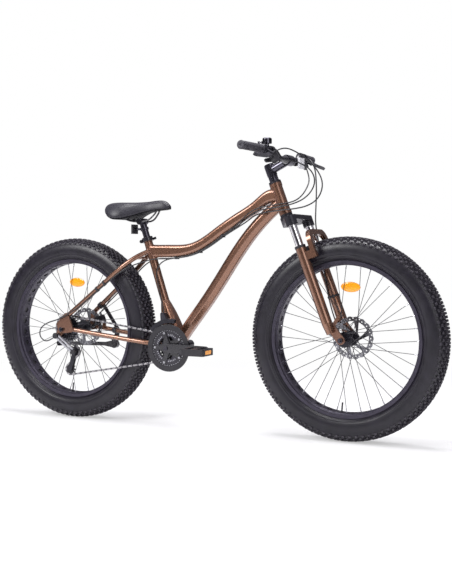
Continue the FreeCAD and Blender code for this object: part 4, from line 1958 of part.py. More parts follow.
def build():
    wheel_tire = tire()
    wheel_tube = group([inner_tube(), rim_strip()])
    wheel_rim = rim()
    disc = rotor()
    nodes = {
        "main_frame": main_frame(), "rear_stays": group([rear_stays(), rear_caliper_bracket()]),
        "bearing_cups": group([headset(), bottom_bracket()]),
        "seat_collar": collar(), "seat_quick_release": seat_lever(),
        "seatpost": group([seatpost(), rear_reflector_bracket()]), "rear_reflector": rear_reflector(),
        "saddle": saddle(), "saddle_frame": group([saddle_base(), saddle_rails()]),
        "fork_crown": fork_crown(), "stanchions": stanchions(),
        "fork_lowers": group([fork_lowers(), fork_wipers(), front_caliper_bracket()] + leg_clips()),
        "stem": group(list(stem_pieces()) + [steerer_spacers(), top_cap()]),
        "handlebar": handlebar(), "grips": group([grip(side) for side in SIDES]),
        "bar_clamps": group([brake_bracket(side) for side in SIDES] + [front_reflector_bracket()]),
        "shifters": group([shifter(side) for side in SIDES]),
        "bell": bell(), "bell_striker": bell_striker(), "front_reflector": front_reflector(),
        "front_axle": put(axle(FRONT_HUB_HALF, FORK_TIP_THICKNESS), FRONT_AXLE),
        "rear_axle": put(axle(DROPOUT_INNER, DROPOUT_THICKNESS), REAR_AXLE),
        "front_tire": put(wheel_tire, FRONT_AXLE), "rear_tire": put(wheel_tire, REAR_AXLE),
        "front_inner_tube": on_wheel(wheel_tube, FRONT_AXLE),
        "rear_inner_tube": on_wheel(wheel_tube, REAR_AXLE),
        "front_rim": on_wheel(wheel_rim, FRONT_AXLE), "rear_rim": on_wheel(wheel_rim, REAR_AXLE),
        "front_spokes": on_wheel(spokes(FRONT_FLANGE_AT, FRONT_FLANGE_AT), FRONT_AXLE),
        "rear_spokes": on_wheel(spokes(REAR_FLANGE_RIGHT, REAR_FLANGE_LEFT), REAR_AXLE),
        "front_hub": put(group([front_hub(), put(disc, ACROSS * FRONT_ROTOR_Y)]), FRONT_AXLE),
        "rear_hub": put(group([rear_hub(), put(disc, ACROSS * REAR_ROTOR_Y)]), REAR_AXLE),
        "front_wheel_reflector": on_wheel(wheel_reflector(FRONT_FLANGE_AT), FRONT_AXLE),
        "rear_wheel_reflector": on_wheel(wheel_reflector(REAR_FLANGE_RIGHT), REAR_AXLE),
        "cassette": cassette(), "chain": chain(), "chainrings": group([chainrings(), chain_guard()]),
        "crank_spindle": group([crank_spindle(), crank_bolts()]),
        "upper_jockey_wheel": jockey_wheel(upper_jockey_place()),
        "lower_jockey_wheel": jockey_wheel(lower_jockey_place()), "rear_derailleur_cage": rear_cage(),
        "rear_derailleur": rear_derailleur(), "front_derailleur": front_derailleur(),
        "front_derailleur_cage": front_cage(), "kickstand_bracket": kickstand_bracket(),
        "kickstand_leg": kickstand_leg(), "frame_cables": frame_cables(),
        "front_brake_cable": housing("front brake housing", FRONT_BRAKE_ROUTE),
    }
    for name, place, y, angle, along in (("front", FRONT_AXLE, FRONT_ROTOR_Y, FRONT_CALIPER_ANGLE, -1),
                                         ("rear", REAR_AXLE, REAR_ROTOR_Y, REAR_CALIPER_ANGLE, 1)):
        nodes[name + "_caliper"] = group([caliper(place, y, angle), brake_pads(place, y, angle)])
        nodes[name + "_caliper_arm"] = caliper_arm(place, y, angle, along)
    for name, side in (("right", -1), ("left", 1)):
        nodes[name + "_crank"] = crank_arm(side)
        nodes[name + "_pedal"] = group([pedal(side), pedal_reflectors(side)])
        nodes[name + "_brake_lever"] = brake_lever(side)
        nodes[name + "_shift_lever"] = shift_lever(side)
    return nodes


for node, shape in build().items():
    shape.exportStep("parts/%s.step" % node)
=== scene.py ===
import math

import bmesh
import bpy
from mathutils import Matrix, Vector

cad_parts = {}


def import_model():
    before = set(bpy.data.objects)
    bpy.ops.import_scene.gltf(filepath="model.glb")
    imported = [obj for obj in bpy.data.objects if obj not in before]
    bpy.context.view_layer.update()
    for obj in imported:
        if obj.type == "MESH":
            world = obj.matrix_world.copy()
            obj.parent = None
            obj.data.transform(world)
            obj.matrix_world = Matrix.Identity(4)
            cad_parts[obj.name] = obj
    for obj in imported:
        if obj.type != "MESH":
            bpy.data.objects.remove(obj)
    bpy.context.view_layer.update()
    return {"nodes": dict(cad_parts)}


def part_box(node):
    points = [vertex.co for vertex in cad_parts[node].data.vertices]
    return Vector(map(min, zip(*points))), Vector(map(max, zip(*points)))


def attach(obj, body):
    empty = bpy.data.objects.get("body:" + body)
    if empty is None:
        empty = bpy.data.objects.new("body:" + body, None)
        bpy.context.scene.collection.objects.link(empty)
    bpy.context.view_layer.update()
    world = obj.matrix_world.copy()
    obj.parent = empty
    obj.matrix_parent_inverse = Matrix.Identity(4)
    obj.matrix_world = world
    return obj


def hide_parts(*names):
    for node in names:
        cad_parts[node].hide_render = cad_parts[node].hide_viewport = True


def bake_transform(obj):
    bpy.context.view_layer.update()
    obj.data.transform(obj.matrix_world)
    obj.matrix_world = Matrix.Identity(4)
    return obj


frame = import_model()
NODES = frame["nodes"]
MM = 0.001


# Main dimensions of the CAD model, in metres, and the places that follow from them

WHEELBASE = 1.202
WHEEL_RADIUS = 0.375
BB_AHEAD = 0.491  # bottom bracket ahead of the rear axle
BB_DROP = 0.0575
SEAT_ANGLE = math.radians(71.7)
SEAT_CLAMP_UP = 0.525  # bottom bracket to the saddle's clamp, along the seat tube
HEAD_ANGLE = math.radians(69.1)
FORK_LENGTH = 0.517  # axle to the lower face of the head tube, along the steering axis
FORK_OFFSET = 0.0655
LEG_AHEAD = 0.041
LEG_Y = 0.082

ACROSS = Vector((0, 1, 0))
REAR_AXLE = Vector((-WHEELBASE / 2, 0, WHEEL_RADIUS))
FRONT_AXLE = Vector((WHEELBASE / 2, 0, WHEEL_RADIUS))
BB = REAR_AXLE + Vector((BB_AHEAD, 0, -BB_DROP))
SEAT_UP = Vector((-math.cos(SEAT_ANGLE), 0, math.sin(SEAT_ANGLE)))
SEAT_CLAMP = BB + SEAT_UP * SEAT_CLAMP_UP
STEER_UP = Vector((-math.cos(HEAD_ANGLE), 0, math.sin(HEAD_ANGLE)))
STEER_AHEAD = Vector((STEER_UP.z, 0, -STEER_UP.x))
HEAD_LOW = FRONT_AXLE - STEER_AHEAD * FORK_OFFSET + STEER_UP * FORK_LENGTH
DERAILLEUR_BOLT = Vector((-0.632, 0, 0.342))
UPPER_JOCKEY = Vector((-0.564, 0, 0.283))
LOWER_JOCKEY = Vector((-0.587, 0, 0.207))


# Materials

def wire(tree, node, inputs):
    """Sets a node's inputs, or links those whose value is another node's output."""
    for key, value in inputs.items():
        if isinstance(value, bpy.types.NodeSocket):
            tree.links.new(value, node.inputs[key])
        else:
            node.inputs[key].default_value = value


def add_node(tree, kind, inputs=(), **settings):
    made = tree.nodes.new(kind)
    for key, value in settings.items():
        setattr(made, key, value)
    wire(tree, made, dict(inputs))
    return made


def add_ramp(tree, source, places, colors):
    """The colour that a ramp between two gives a texture."""
    ramp = add_node(tree, "ShaderNodeValToRGB", {"Fac": source})
    for element, place, color in zip(ramp.color_ramp.elements, places, colors):
        element.position = place
        element.color = (*color, 1)
    return ramp.outputs["Color"]


class Look:
    """A Principled material and its nodes, with textures placed by the object's own coordinates."""

    def __init__(self, name, color, rough, metal=0.0, **sockets):
        self.material = bpy.data.materials.new(name)
        self.material.use_nodes = True
        self.tree = self.material.node_tree
        self.shader = self.tree.nodes["Principled BSDF"]
        self.color = color
        self.rough = rough
        self.surface({"Base Color": (*color, 1), "Roughness": rough, "Metallic": metal})
        self.surface({key.replace("_", " "): value for key, value in sockets.items()})
        self.place = self.node("ShaderNodeTexCoord").outputs["Object"]
        self.normal = None

    def node(self, kind, inputs=(), **settings):
        return add_node(self.tree, kind, inputs, **settings)

    def surface(self, inputs):
        wire(self.tree, self.shader, inputs)
        return self

    def noise(self, scale, detail=3.0, stretch=None):
        inputs = {"Scale": scale, "Detail": detail, "Vector": self.stretched(stretch)}
        return self.node("ShaderNodeTexNoise", inputs).outputs["Fac"]

    def cells(self, scale, feature="F1"):
        inputs = {"Scale": scale, "Vector": self.place}
        return self.node("ShaderNodeTexVoronoi", inputs, feature=feature).outputs["Distance"]

    def stretched(self, stretch):
        if stretch is None:
            return self.place
        inputs = {"Scale": stretch, "Vector": self.place}
        return self.node("ShaderNodeMapping", inputs).outputs["Vector"]

    def tint(self, source, low, high, spread=(0.3, 0.7)):
        """Base colour between two shades by a texture."""
        return self.surface({"Base Color": add_ramp(self.tree, source, spread, (low, high))})

    def shade(self, source, amount, spread=(0.3, 0.7)):
        low = [c * (1 - amount) for c in self.color]
        high = [min(1, c * (1 + amount)) for c in self.color]
        return self.tint(source, low, high, spread)

    def polish(self, source, swing, least=0.02):
        """Roughness that varies about its middle by a texture."""
        low, high = max(least, self.rough - swing), self.rough + swing
        made = self.node("ShaderNodeMapRange", {"Value": source, "To Min": low, "To Max": high})
        return self.surface({"Roughness": made.outputs["Result"]})

    def rounded(self, radius):
        """Soft edges, as a shading effect."""
        self.normal = self.node("ShaderNodeBevel", {"Radius": radius}, samples=4).outputs["Normal"]
        return self.surface({"Normal": self.normal})

    def bump(self, source, strength, depth=0.0005):
        inputs = {"Height": source, "Strength": strength, "Distance": depth}
        if self.normal:
            inputs["Normal"] = self.normal
        self.normal = self.node("ShaderNodeBump", inputs).outputs["Normal"]
        return self.surface({"Normal": self.normal})


def paint_look():
    """Metallic paint: fine flakes under a clear coat."""
    look = Look("bronze_paint", (0.222, 0.112, 0.072), rough=0.27, metal=0.82,
                Coat_Weight=0.6, Coat_Roughness=0.10)
    look.shade(look.cells(scale=2600), amount=0.08, spread=(0.1, 0.9))
    look.polish(look.noise(scale=14), swing=0.03)
    return look.bump(look.noise(scale=900, detail=2), strength=0.003).material


def weld_look():
    look = Look("weld_paint", (0.225, 0.106, 0.078), rough=0.32, metal=0.78,
                Coat_Weight=0.5, Coat_Roughness=0.1)
    look.shade(look.noise(scale=120), amount=0.15)
    return look.bump(look.noise(scale=420, detail=2), strength=0.5, depth=0.0012).material


def plain_look(name, color, rough, fine, grain, metal=0.0, edge=0.0006, **sockets):
    """A moulded, painted or polished surface with a fine grain and softened edges."""
    look = Look(name, color, rough, metal, **sockets)
    look.shade(look.noise(scale=38), amount=0.16)
    look.polish(look.noise(scale=60, detail=4), swing=0.07)
    return look.rounded(edge).bump(look.noise(fine), strength=grain).material


def brushed_look(name, color, rough, stretch):
    """Bare metal with drawn-out scratches."""
    look = Look(name, color, rough, metal=1.0)
    grain = look.noise(scale=900, detail=4, stretch=stretch)
    look.shade(grain, amount=0.18).polish(grain, swing=0.08)
    return look.rounded(radius=0.0004).bump(grain, strength=0.12, depth=0.0002).material


def tire_look(name, low, high, rough):
    look = Look(name, low, rough, Sheen_Weight=0.02, Sheen_Roughness=0.5,
                Sheen_Tint=(0.72, 0.66, 0.85, 1), Specular_IOR_Level=0.42)
    look.tint(look.noise(scale=26, detail=6), low, high, spread=(0.35, 0.72))
    look.polish(look.noise(scale=90, detail=4), swing=0.09)
    return look.bump(look.noise(scale=1500), strength=0.16, depth=0.0003).material


def saddle_look():
    """Vinyl with a pebbled grain."""
    look = Look("saddle_vinyl", (0.013, 0.012, 0.019), rough=0.44, Sheen_Weight=0.04,
                Sheen_Tint=(0.8, 0.78, 0.9, 1), Specular_IOR_Level=0.5)
    look.shade(look.noise(scale=30, detail=4), amount=0.2)
    look.polish(look.noise(scale=50), swing=0.06)
    look.bump(look.cells(scale=720, feature="DISTANCE_TO_EDGE"), strength=0.10, depth=0.0004)
    return look.bump(look.noise(scale=1600, detail=2), strength=0.06, depth=0.0002).material


def lens_look(name, color, glow):
    """Moulded reflector: a bright lens over a fine prism grid, with a painted glow: emission that
    stands in for the light the lens sends back.
    """
    look = Look(name, color, rough=0.16, Coat_Weight=0.6, Coat_Roughness=0.05,
                Emission_Strength=glow, Emission_Color=(*color, 1))
    prisms = look.cells(scale=330, feature="DISTANCE_TO_EDGE")
    look.tint(prisms, [c * 0.72 for c in color], color, spread=(0.02, 0.25))
    return look.bump(prisms, strength=0.35, depth=0.0006).material


BRONZE = paint_look()
WELD = weld_look()
BLACK = plain_look("satin_black", (0.010, 0.009, 0.013), rough=0.26, fine=300, grain=0.05,
                   edge=0.0008, Coat_Weight=0.4)
GLOSS = plain_look("gloss_black", (0.085, 0.082, 0.100), rough=0.13, metal=0.9, fine=500,
                   grain=0.02)
ALLOY = plain_look("black_alloy", (0.022, 0.021, 0.028), rough=0.32, metal=0.45, fine=900,
                   grain=0.08)
RIM = plain_look("rim_alloy", (0.040, 0.035, 0.053), rough=0.38, metal=0.45, fine=1200, grain=0.08)
BASE = plain_look("base_plastic", (0.006, 0.006, 0.008), rough=0.6, fine=900, grain=0.1,
                  Specular_IOR_Level=0.15)
PLASTIC = plain_look("black_plastic", (0.014, 0.013, 0.017), rough=0.42, fine=1400, grain=0.18)
HOUSING = plain_look("cable_housing", (0.016, 0.016, 0.019), rough=0.32, fine=1800, grain=0.10)
GRIP = plain_look("grip_rubber", (0.045, 0.043, 0.053), rough=0.60, fine=1300, grain=0.35)
STITCH = plain_look("stitch_thread", (0.085, 0.083, 0.10), rough=0.7, fine=3000, grain=0.4,
                    edge=0.0001)
SPOKE = plain_look("spoke_steel", (0.055, 0.054, 0.060), rough=0.34, metal=0.6, fine=900,
                   grain=0.05, edge=0.0002)
NIPPLE = plain_look("nipple_brass", (0.62, 0.62, 0.66), rough=0.25, metal=1.0, fine=900, grain=0.05,
                    edge=0.0002)
CHROME = plain_look("chrome", (0.86, 0.86, 0.88), rough=0.06, metal=1.0, fine=700, grain=0.01,
                    edge=0.0004)
ROTOR = brushed_look("rotor_steel", (0.25, 0.25, 0.27), rough=0.26, stretch=(5, 1, 5))
STEEL = brushed_look("steel", (0.42, 0.42, 0.45), rough=0.30, stretch=(1, 6, 1))
DARK_STEEL = brushed_look("dark_steel", (0.075, 0.072, 0.085), rough=0.30, stretch=(1, 5, 1))
CHAIN = brushed_look("chain_steel", (0.36, 0.35, 0.36), rough=0.30, stretch=(3, 1, 3))
TIRE = tire_look("tire_rubber", (0.006, 0.005, 0.009), (0.012, 0.010, 0.017), rough=0.36)
# Knob rubber: a lighter copy of the tire rubber, painted light against the knobs' own shade
LIT_TREAD = tire_look("tread_rubber_painted_light", (0.024, 0.021, 0.029), (0.036, 0.032, 0.042), rough=0.55)
COVER = saddle_look()
# Lens looks with a painted glow: their emission stands in for the light the lenses send back
AMBER = lens_look("amber_lens", (0.95, 0.36, 0.01), glow=0.22)
CLEAR = lens_look("clear_lens", (0.90, 0.90, 0.93), glow=0.12)
RED = lens_look("red_lens", (0.22, 0.012, 0.015), glow=0.04)


# Meshes

def shown(name, data):
    made = bpy.data.objects.new(name, data)
    bpy.context.scene.collection.objects.link(made)
    return made


def piece(name, data, material, body, slot, *replaced):
    """An object of the bike that rides on a body, if one is given, and may stand for CAD nodes."""
    made = shown(name, data)
    data.materials.append(material)
    if replaced:
        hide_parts(*replaced)
    if body:
        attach(made, body)
    return made


def faced(data, smooth=True):
    """The mesh with its faces turned outward."""
    bm = bmesh.new()
    bm.from_mesh(data)
    bmesh.ops.recalc_face_normals(bm, faces=bm.faces)
    bm.to_mesh(data)
    bm.free()
    if smooth:
        data.shade_smooth()
    else:
        data.shade_flat()
    return data


def mesh_from(name, points, faces, smooth=True):
    data = bpy.data.meshes.new(name)
    data.from_pydata([tuple(p) for p in points], [], faces)
    return faced(data, smooth)


def mesh_of(name, bm):
    """A new mesh with what a bmesh holds, which is then freed."""
    data = bpy.data.meshes.new(name)
    bm.to_mesh(data)
    bm.free()
    return data


def grid_faces(rows, columns, wrap_rows=False, wrap_columns=False):
    faces = []
    for r in range(rows if wrap_rows else rows - 1):
        for c in range(columns if wrap_columns else columns - 1):
            here, after = r * columns, (r + 1) % rows * columns
            beside = (c + 1) % columns
            faces.append((here + c, here + beside, after + beside, after + c))
    return faces


def closed_tube(rows, columns):
    """Faces of a tube of rings, with both ends closed."""
    last = (rows - 1) * columns
    ends = [tuple(range(columns)), tuple(reversed(range(last, rows * columns)))]
    return grid_faces(rows, columns, wrap_columns=True) + ends


def loft(bm, rings):
    """Block through rings of points, with both ends closed."""
    rings = [[bm.verts.new(p) for p in ring] for ring in rings]
    for low, high in zip(rings, rings[1:]):
        for i in range(len(low)):
            j = (i + 1) % len(low)
            bm.faces.new((low[i], low[j], high[j], high[i]))
    bm.faces.new(reversed(rings[0]))
    bm.faces.new(rings[-1])


def turn_angles(count):
    return [2 * math.pi * number / count for number in range(count)]


def smooth_line(points, steps):
    """Catmull-Rom line through the points, steps to each span."""
    rows = [tuple(p) for p in points]
    before = tuple(2 * a - b for a, b in zip(rows[0], rows[1]))
    after = tuple(2 * a - b for a, b in zip(rows[-1], rows[-2]))
    rows = [before] + rows + [after]
    line = []
    for span in zip(rows, rows[1:], rows[2:], rows[3:]):
        for step in range(steps):
            t = step / steps
            line.append(tuple(
                b + ((c - a) * t + (2 * a - 5 * b + 4 * c - d) * t ** 2
                     + (3 * b - a - 3 * c + d) * t ** 3) / 2 for a, b, c, d in zip(*span)))
    return line + [rows[-2]]


# Tires: a smooth casing with two moulded ribs and rows of small bevelled knobs, in millimetres

HALF_CASING = (  # radius and distance from the middle plane
    (367.2, 0), (367.0, 8), (366.0, 16), (364.4, 24), (361.5, 32), (357, 39), (350, 44.6),
    (341, 48), (331, 49.6), (322, 50), (312, 49.2), (306.5, 47.7), (305.2, 48.3),
    (303.4, 48.2), (302.4, 46.6), (299, 44.9), (298, 45.5), (296.6, 44.9), (295.8, 43),
    (293, 40.4), (290, 37.2), (288.7, 34.8), (287.5, 33.9), (280.5, 33.9))
TREAD_POINTS = 12  # those of the casing that knobs can stand between
CASING_STEPS = 220
KNOBS = 88  # in each row
KNOB_ROWS = (  # distance from the middle plane, half width, height, length, shift
    (4.9, 4.1, 8.2, 11.0, 0.0), (16.2, 3.6, 8.2, 9.5, 0.5), (24.6, 3.3, 8.0, 10.5, 0.0),
    (34.6, 3.4, 7.6, 9.5, 0.5), (42.6, 3.5, 6.4, 11.0, 0.0))
LEFT_SHIFT = 0.5  # of the left side's knobs, in pitches
KNOB_ROOT = 1.5  # below the casing's skin
KNOB_FLARE = 0.5  # of the root past the knob's size
KNOB_BEVEL = 0.9  # height of the bevel round the top
KNOB_DRAFT = 0.35  # inset below the bevel
KNOB_TOP_INSET = 1.1
KNOB_CORNER = 1.1
KNOB_SIDES = 8


def casing_at(y):
    """Radius of the casing at y, and its outward slope there."""
    rows = HALF_CASING[:TREAD_POINTS]
    for (r1, y1), (r2, y2) in zip(rows, rows[1:]):
        if y1 <= abs(y) <= y2:
            share = (abs(y) - y1) / (y2 - y1)
            normal = Vector((y2 - y1, r1 - r2)).normalized()
            return r1 + (r2 - r1) * share, normal.x, math.copysign(normal.y, y)


def knob(points, faces, angle, y, wide, tall, long):
    radius, lean_r, lean_y = casing_at(y)
    out = Vector((math.cos(angle) * lean_r, lean_y, math.sin(angle) * lean_r))
    round_way = Vector((-math.sin(angle), 0, math.cos(angle)))
    side = round_way.cross(out)
    foot = Vector((math.cos(angle) * radius, y, math.sin(angle) * radius))
    levels = ((-KNOB_ROOT, -KNOB_FLARE), (tall - KNOB_BEVEL, KNOB_DRAFT), (tall, KNOB_TOP_INSET))
    first = len(points)
    for height, inset in levels:
        l, w, cut = long / 2 - inset, wide - inset, KNOB_CORNER
        corners = ((l, w - cut), (l - cut, w), (cut - l, w), (-l, w - cut),
                   (-l, cut - w), (cut - l, -w), (l - cut, -w), (l, cut - w))
        points.extend((foot + round_way * a + side * b + out * height) * MM for a, b in corners)
    for face in grid_faces(len(levels), KNOB_SIDES, wrap_columns=True):
        faces.append(tuple(first + i for i in face))
    faces.append(tuple(range(len(points) - KNOB_SIDES, len(points))))


def tire(name, axle, body):
    profile = [(r, -y) for r, y in reversed(HALF_CASING)] + list(HALF_CASING[1:])
    points = []
    for angle in turn_angles(CASING_STEPS):
        c, s = math.cos(angle), math.sin(angle)
        points += [Vector((r * c, y, r * s)) * MM for r, y in profile]
    faces = grid_faces(CASING_STEPS, len(profile), wrap_rows=True)
    skin = len(faces)
    for y, wide, tall, long, phase in KNOB_ROWS:
        for side, shift in ((-1, phase), (1, phase + LEFT_SHIFT)):
            for step in range(KNOBS):
                angle = 2 * math.pi * (step + shift) / KNOBS
                knob(points, faces, angle, side * y, wide, tall, long)
    data = mesh_from(name, [p + axle for p in points], faces)
    piece(name, data, TIRE, body, "tyre", name.replace("_visual", ""))
    # The knobs take the lighter rubber: painted light against their own shade
    data.materials.append(LIT_TREAD)
    for face in data.polygons[skin:]:
        face.use_smooth = False
        face.material_index = 1


tire("front_tire_visual", FRONT_AXLE, "front_wheel")
tire("rear_tire_visual", REAR_AXLE, "rear_wheel")


# Saddle: padded cover with drawn-in sides, a shallow middle channel and sewn side seams

SADDLE_LENGTH = 0.269
SADDLE_NOSE = 0.128  # nose ahead of the clamp
SADDLE_HALF = 0.088
SADDLE_TOP = 0.080  # above the clamp
SADDLE_DEPTH = 0.070
SADDLE_STATIONS = (  # shares of the length, half width and depth: place, width, top, edge
    (0.0, 0.70, 0.90, 0.46), (0.06, 0.88, 0.97, 0.22), (0.18, 1.0, 1.0, 0.02),
    (0.32, 0.92, 0.99, 0.03), (0.48, 0.58, 0.98, 0.22), (0.64, 0.36, 1.0, 0.41),
    (0.80, 0.27, 1.05, 0.51), (0.92, 0.22, 1.01, 0.54), (1.0, 0.13, 0.78, 0.58))
STATION_STEPS = 5
TAIL_ROUND = ((-0.022, 0.50, 0.17, 0.22), (-0.016, 0.80, 0.06, 0.13))  # place, width, drop, rise
NOSE_ROUND = ((1.006, 0.72, 0.05, 0.02), (1.009, 0.35, 0.10, 0.05))
SADDLE_RIM = (  # half a section from the edge to the top, as shares of its width and height
    (0.86, -0.01), (0.985, 0.03), (1.0, 0.12), (0.985, 0.26), (0.93, 0.44), (0.86, 0.60),
    (0.775, 0.735), (0.74, 0.775), (0.70, 0.815), (0.60, 0.885), (0.46, 0.945), (0.30, 0.98),
    (0.15, 0.995), (0.0, 1.0))
SEAM = 7  # the section's point on the seam
SEAM_DEPTH = 0.0012
CHANNEL_HALF = 0.4  # share of the half width
CHANNEL_DEPTH = 0.0035
CHANNEL_CURVE = 1.5
CHANNEL_END = 0.80  # share of the length
CHANNEL_FADE = 0.12
BASE_SHARE = 0.9  # of the cover's half width
BASE_CORNERS = ((-1, -0.003), (1, -0.003), (1, 0.001), (-1, 0.001))
STITCH_PITCH = 0.0042
STITCH_RADIUS = 0.001
STITCH_SHAPE = (1.5, 0.5, 0.5, 1)
STITCH_LIFT = Vector((0, 0, 0.0011))
BARE_ROWS = 3  # at each end of a seam


def end_rows(station, steps):
    """Sections that round off an end of the saddle."""
    _, wide, high, low = station
    return [(place, wide * share, high - drop, low + rise) for place, share, drop, rise in steps]


def saddle_section(half, top, bottom, fade):
    """Half a section of the cover, with its seam drawn in and its channel pressed down."""
    ring = []
    for index, (out, up) in enumerate(SADDLE_RIM):
        y, z = half * out, bottom + (top - bottom) * up
        if index == SEAM:
            y -= SEAM_DEPTH
            z -= SEAM_DEPTH
        if out < CHANNEL_HALF:
            z -= CHANNEL_DEPTH * fade * (1 - out / CHANNEL_HALF) ** CHANNEL_CURVE
        ring.append((y, z))
    return ring


def saddle():
    rows = smooth_line(SADDLE_STATIONS, STATION_STEPS)
    rows = end_rows(rows[0], TAIL_ROUND) + rows + end_rows(rows[-1], NOSE_ROUND)
    cover_points, base_points, seams = [], [], ([], [])
    for along, wide, high, low in rows:
        x = SEAT_CLAMP.x + SADDLE_NOSE - (1 - along) * SADDLE_LENGTH
        half = wide * SADDLE_HALF
        crown = SEAT_CLAMP.z + SADDLE_TOP
        top, bottom = (crown - (1 - level) * SADDLE_DEPTH for level in (high, low))
        fade = max(0, min(1, along / CHANNEL_FADE, (CHANNEL_END - along) / CHANNEL_FADE))
        ring = saddle_section(half, top, bottom, fade)
        cover_points += [Vector((x, -y, z)) for y, z in ring]
        cover_points += [Vector((x, y, z)) for y, z in reversed(ring[:-1])]
        base_points += [Vector((x, side * half * BASE_SHARE, bottom + rise))
                        for side, rise in BASE_CORNERS]
        for side, line in zip((-1, 1), seams):
            line.append(Vector((x, side * ring[SEAM][0], ring[SEAM][1])))
    faces = closed_tube(len(rows), 2 * len(SADDLE_RIM) - 1)
    data = mesh_from("saddle_cover", cover_points, faces)
    cover = piece("saddle_cover", data, COVER, "seat", "saddle_cover", "saddle")
    cover.modifiers.new("soft", "SUBSURF").render_levels = 1
    faces = closed_tube(len(rows), len(BASE_CORNERS))
    data = mesh_from("saddle_base", base_points, faces, smooth=False)
    piece("saddle_base", data, BASE, "seat", "black_plastic", "saddle_frame")
    stitch(seams)


def stitch(seams):
    stitches = bmesh.new()
    for line in seams:
        inner = line[BARE_ROWS:-BARE_ROWS]
        for a, b in zip(inner, inner[1:]):
            count = max(1, round((b - a).length / STITCH_PITCH))
            turn = (b - a).normalized().to_track_quat("X", "Z").to_matrix().to_4x4()
            for step in range(count):
                spot = a.lerp(b, (step + 0.5) / count) + STITCH_LIFT
                place = Matrix.Translation(spot) @ turn @ Matrix.Diagonal(STITCH_SHAPE)
                bmesh.ops.create_icosphere(stitches, subdivisions=1, radius=STITCH_RADIUS,
                                           matrix=place)
    piece("saddle_stitches", mesh_of("saddle_stitches", stitches), STITCH, "seat", "saddle_cover")


saddle()


# Wheel reflectors: oval amber lenses in the place and size of the CAD ones

LENS_ROWS = (  # shares of the oval's size and of the depth, from one face to the other
    (0.0, -1.0), (0.55, -0.96), (0.86, -0.78), (0.97, -0.5), (1.0, -0.2),
    (1.0, 0.2), (0.97, 0.5), (0.86, 0.78), (0.55, 0.96), (0.0, 1.0))
LENS_STEPS = 40
LENS_END = 0.004  # band at each end of the CAD lens whose middle gives its direction
MERGE = 0.00001


def middle_of(spots):
    return sum(spots, Vector()) / len(spots)


def wheel_reflector(node, body):
    spots = [v.co for v in NODES[node].data.vertices]
    low = Vector([min(p[i] for p in spots) for i in range(3)])
    high = Vector([max(p[i] for p in spots) for i in range(3)])
    middle = (low + high) / 2
    way = (middle_of([p for p in spots if p.x > high.x - LENS_END])
           - middle_of([p for p in spots if p.x < low.x + LENS_END]))
    way = Vector((way.x, 0, way.z)).normalized()
    up = way.cross(ACROSS)
    long, tall = (max(abs((p - middle).dot(axis)) for p in spots) for axis in (way, up))
    deep = (high.y - low.y) / 2
    points = []
    for share, depth in LENS_ROWS:
        for angle in turn_angles(LENS_STEPS):
            across = way * (long * math.cos(angle)) + up * (tall * math.sin(angle))
            points.append(middle + across * share + ACROSS * (deep * depth))
    faces = grid_faces(len(LENS_ROWS), LENS_STEPS, wrap_columns=True)
    data = mesh_from(node + "_lens", points, faces)
    bm = bmesh.new()
    bm.from_mesh(data)
    bmesh.ops.remove_doubles(bm, verts=bm.verts, dist=MERGE)
    bm.to_mesh(data)
    bm.free()
    piece(node + "_lens", data, AMBER, body, "amber_lens", node)


wheel_reflector("front_wheel_reflector", "front_wheel")
wheel_reflector("rear_wheel_reflector", "rear_wheel")


# Grips: turned rubber with a flange, end rings and a field of small diamonds

GRIP_ROWS = 92
GRIP_COLUMNS = 56
GRIP_RADII = (  # up to a share of the length: flange, groove, hand, end ring, rounding
    (0.035, 0.0163), (0.055, 0.0146), (0.955, 0.0150), (0.985, 0.0160), (math.inf, 0.0144))
GRIP_END = ((0.011, 0.0), (0.0085, 0.0008), (0.0040, 0.0008), (0.0036, 0.004))  # radius, sink
GRIP_BORE = 0.0112
GRIP_EDGE = 0.006  # band at each end of the CAD grip whose middle gives its axis
DIAMONDS_FROM = 0.10  # shares of the length
DIAMONDS_TO = 0.90
DIAMOND_TURN = 9 / math.pi
DIAMOND_RATE = 900  # radians to the metre along the grip
DIAMOND_HEIGHT = 0.0004
DIAMOND_STEEP = 2.2


def grip_radius(share, along, angle):
    radius = next(size for limit, size in GRIP_RADII if share < limit)
    if DIAMONDS_FROM < share < DIAMONDS_TO:
        turns = angle * DIAMOND_TURN
        weave = math.sin(turns + along * DIAMOND_RATE) * math.sin(turns - along * DIAMOND_RATE)
        radius += DIAMOND_HEIGHT * max(-1, min(1, DIAMOND_STEEP * weave))
    return radius


def grip(side, name):
    spots = [v.co for v in NODES["grips"].data.vertices if v.co.y * side > 0]
    inner_y, outer_y = (pick(abs(p.y) for p in spots) for pick in (min, max))
    inner, outer = (middle_of([p for p in spots if abs(abs(p.y) - edge) < GRIP_EDGE])
                    for edge in (inner_y, outer_y))
    way = (outer - inner).normalized()
    low, high = (pick(p.dot(way) for p in spots) for pick in (min, max))
    foot = inner + way * (low - inner.dot(way))
    length = high - low
    across = way.cross(Vector((1, 0, 0))).normalized()
    up = across.cross(way)
    angles = turn_angles(GRIP_COLUMNS)

    def ring(along, radii):
        return [foot + way * along + across * (r * math.cos(angle)) + up * (r * math.sin(angle))
                for r, angle in zip(radii, angles)]

    points = ring(0, [GRIP_BORE] * GRIP_COLUMNS)
    for row in range(GRIP_ROWS):
        share = row / (GRIP_ROWS - 1)
        along = length * share
        points += ring(along, [grip_radius(share, along, angle) for angle in angles])
    for radius, sink in GRIP_END:
        points += ring(length - sink, [radius] * GRIP_COLUMNS)
    faces = grid_faces(len(points) // GRIP_COLUMNS, GRIP_COLUMNS, wrap_columns=True)
    faces.append(tuple(range(len(points) - GRIP_COLUMNS, len(points))))
    piece(name, mesh_from(name, points, faces), GRIP, "steering", "grip_rubber", "grips")


grip(-1, "right_grip")
grip(1, "left_grip")


# Cable housings along the routes of the CAD model, in millimetres

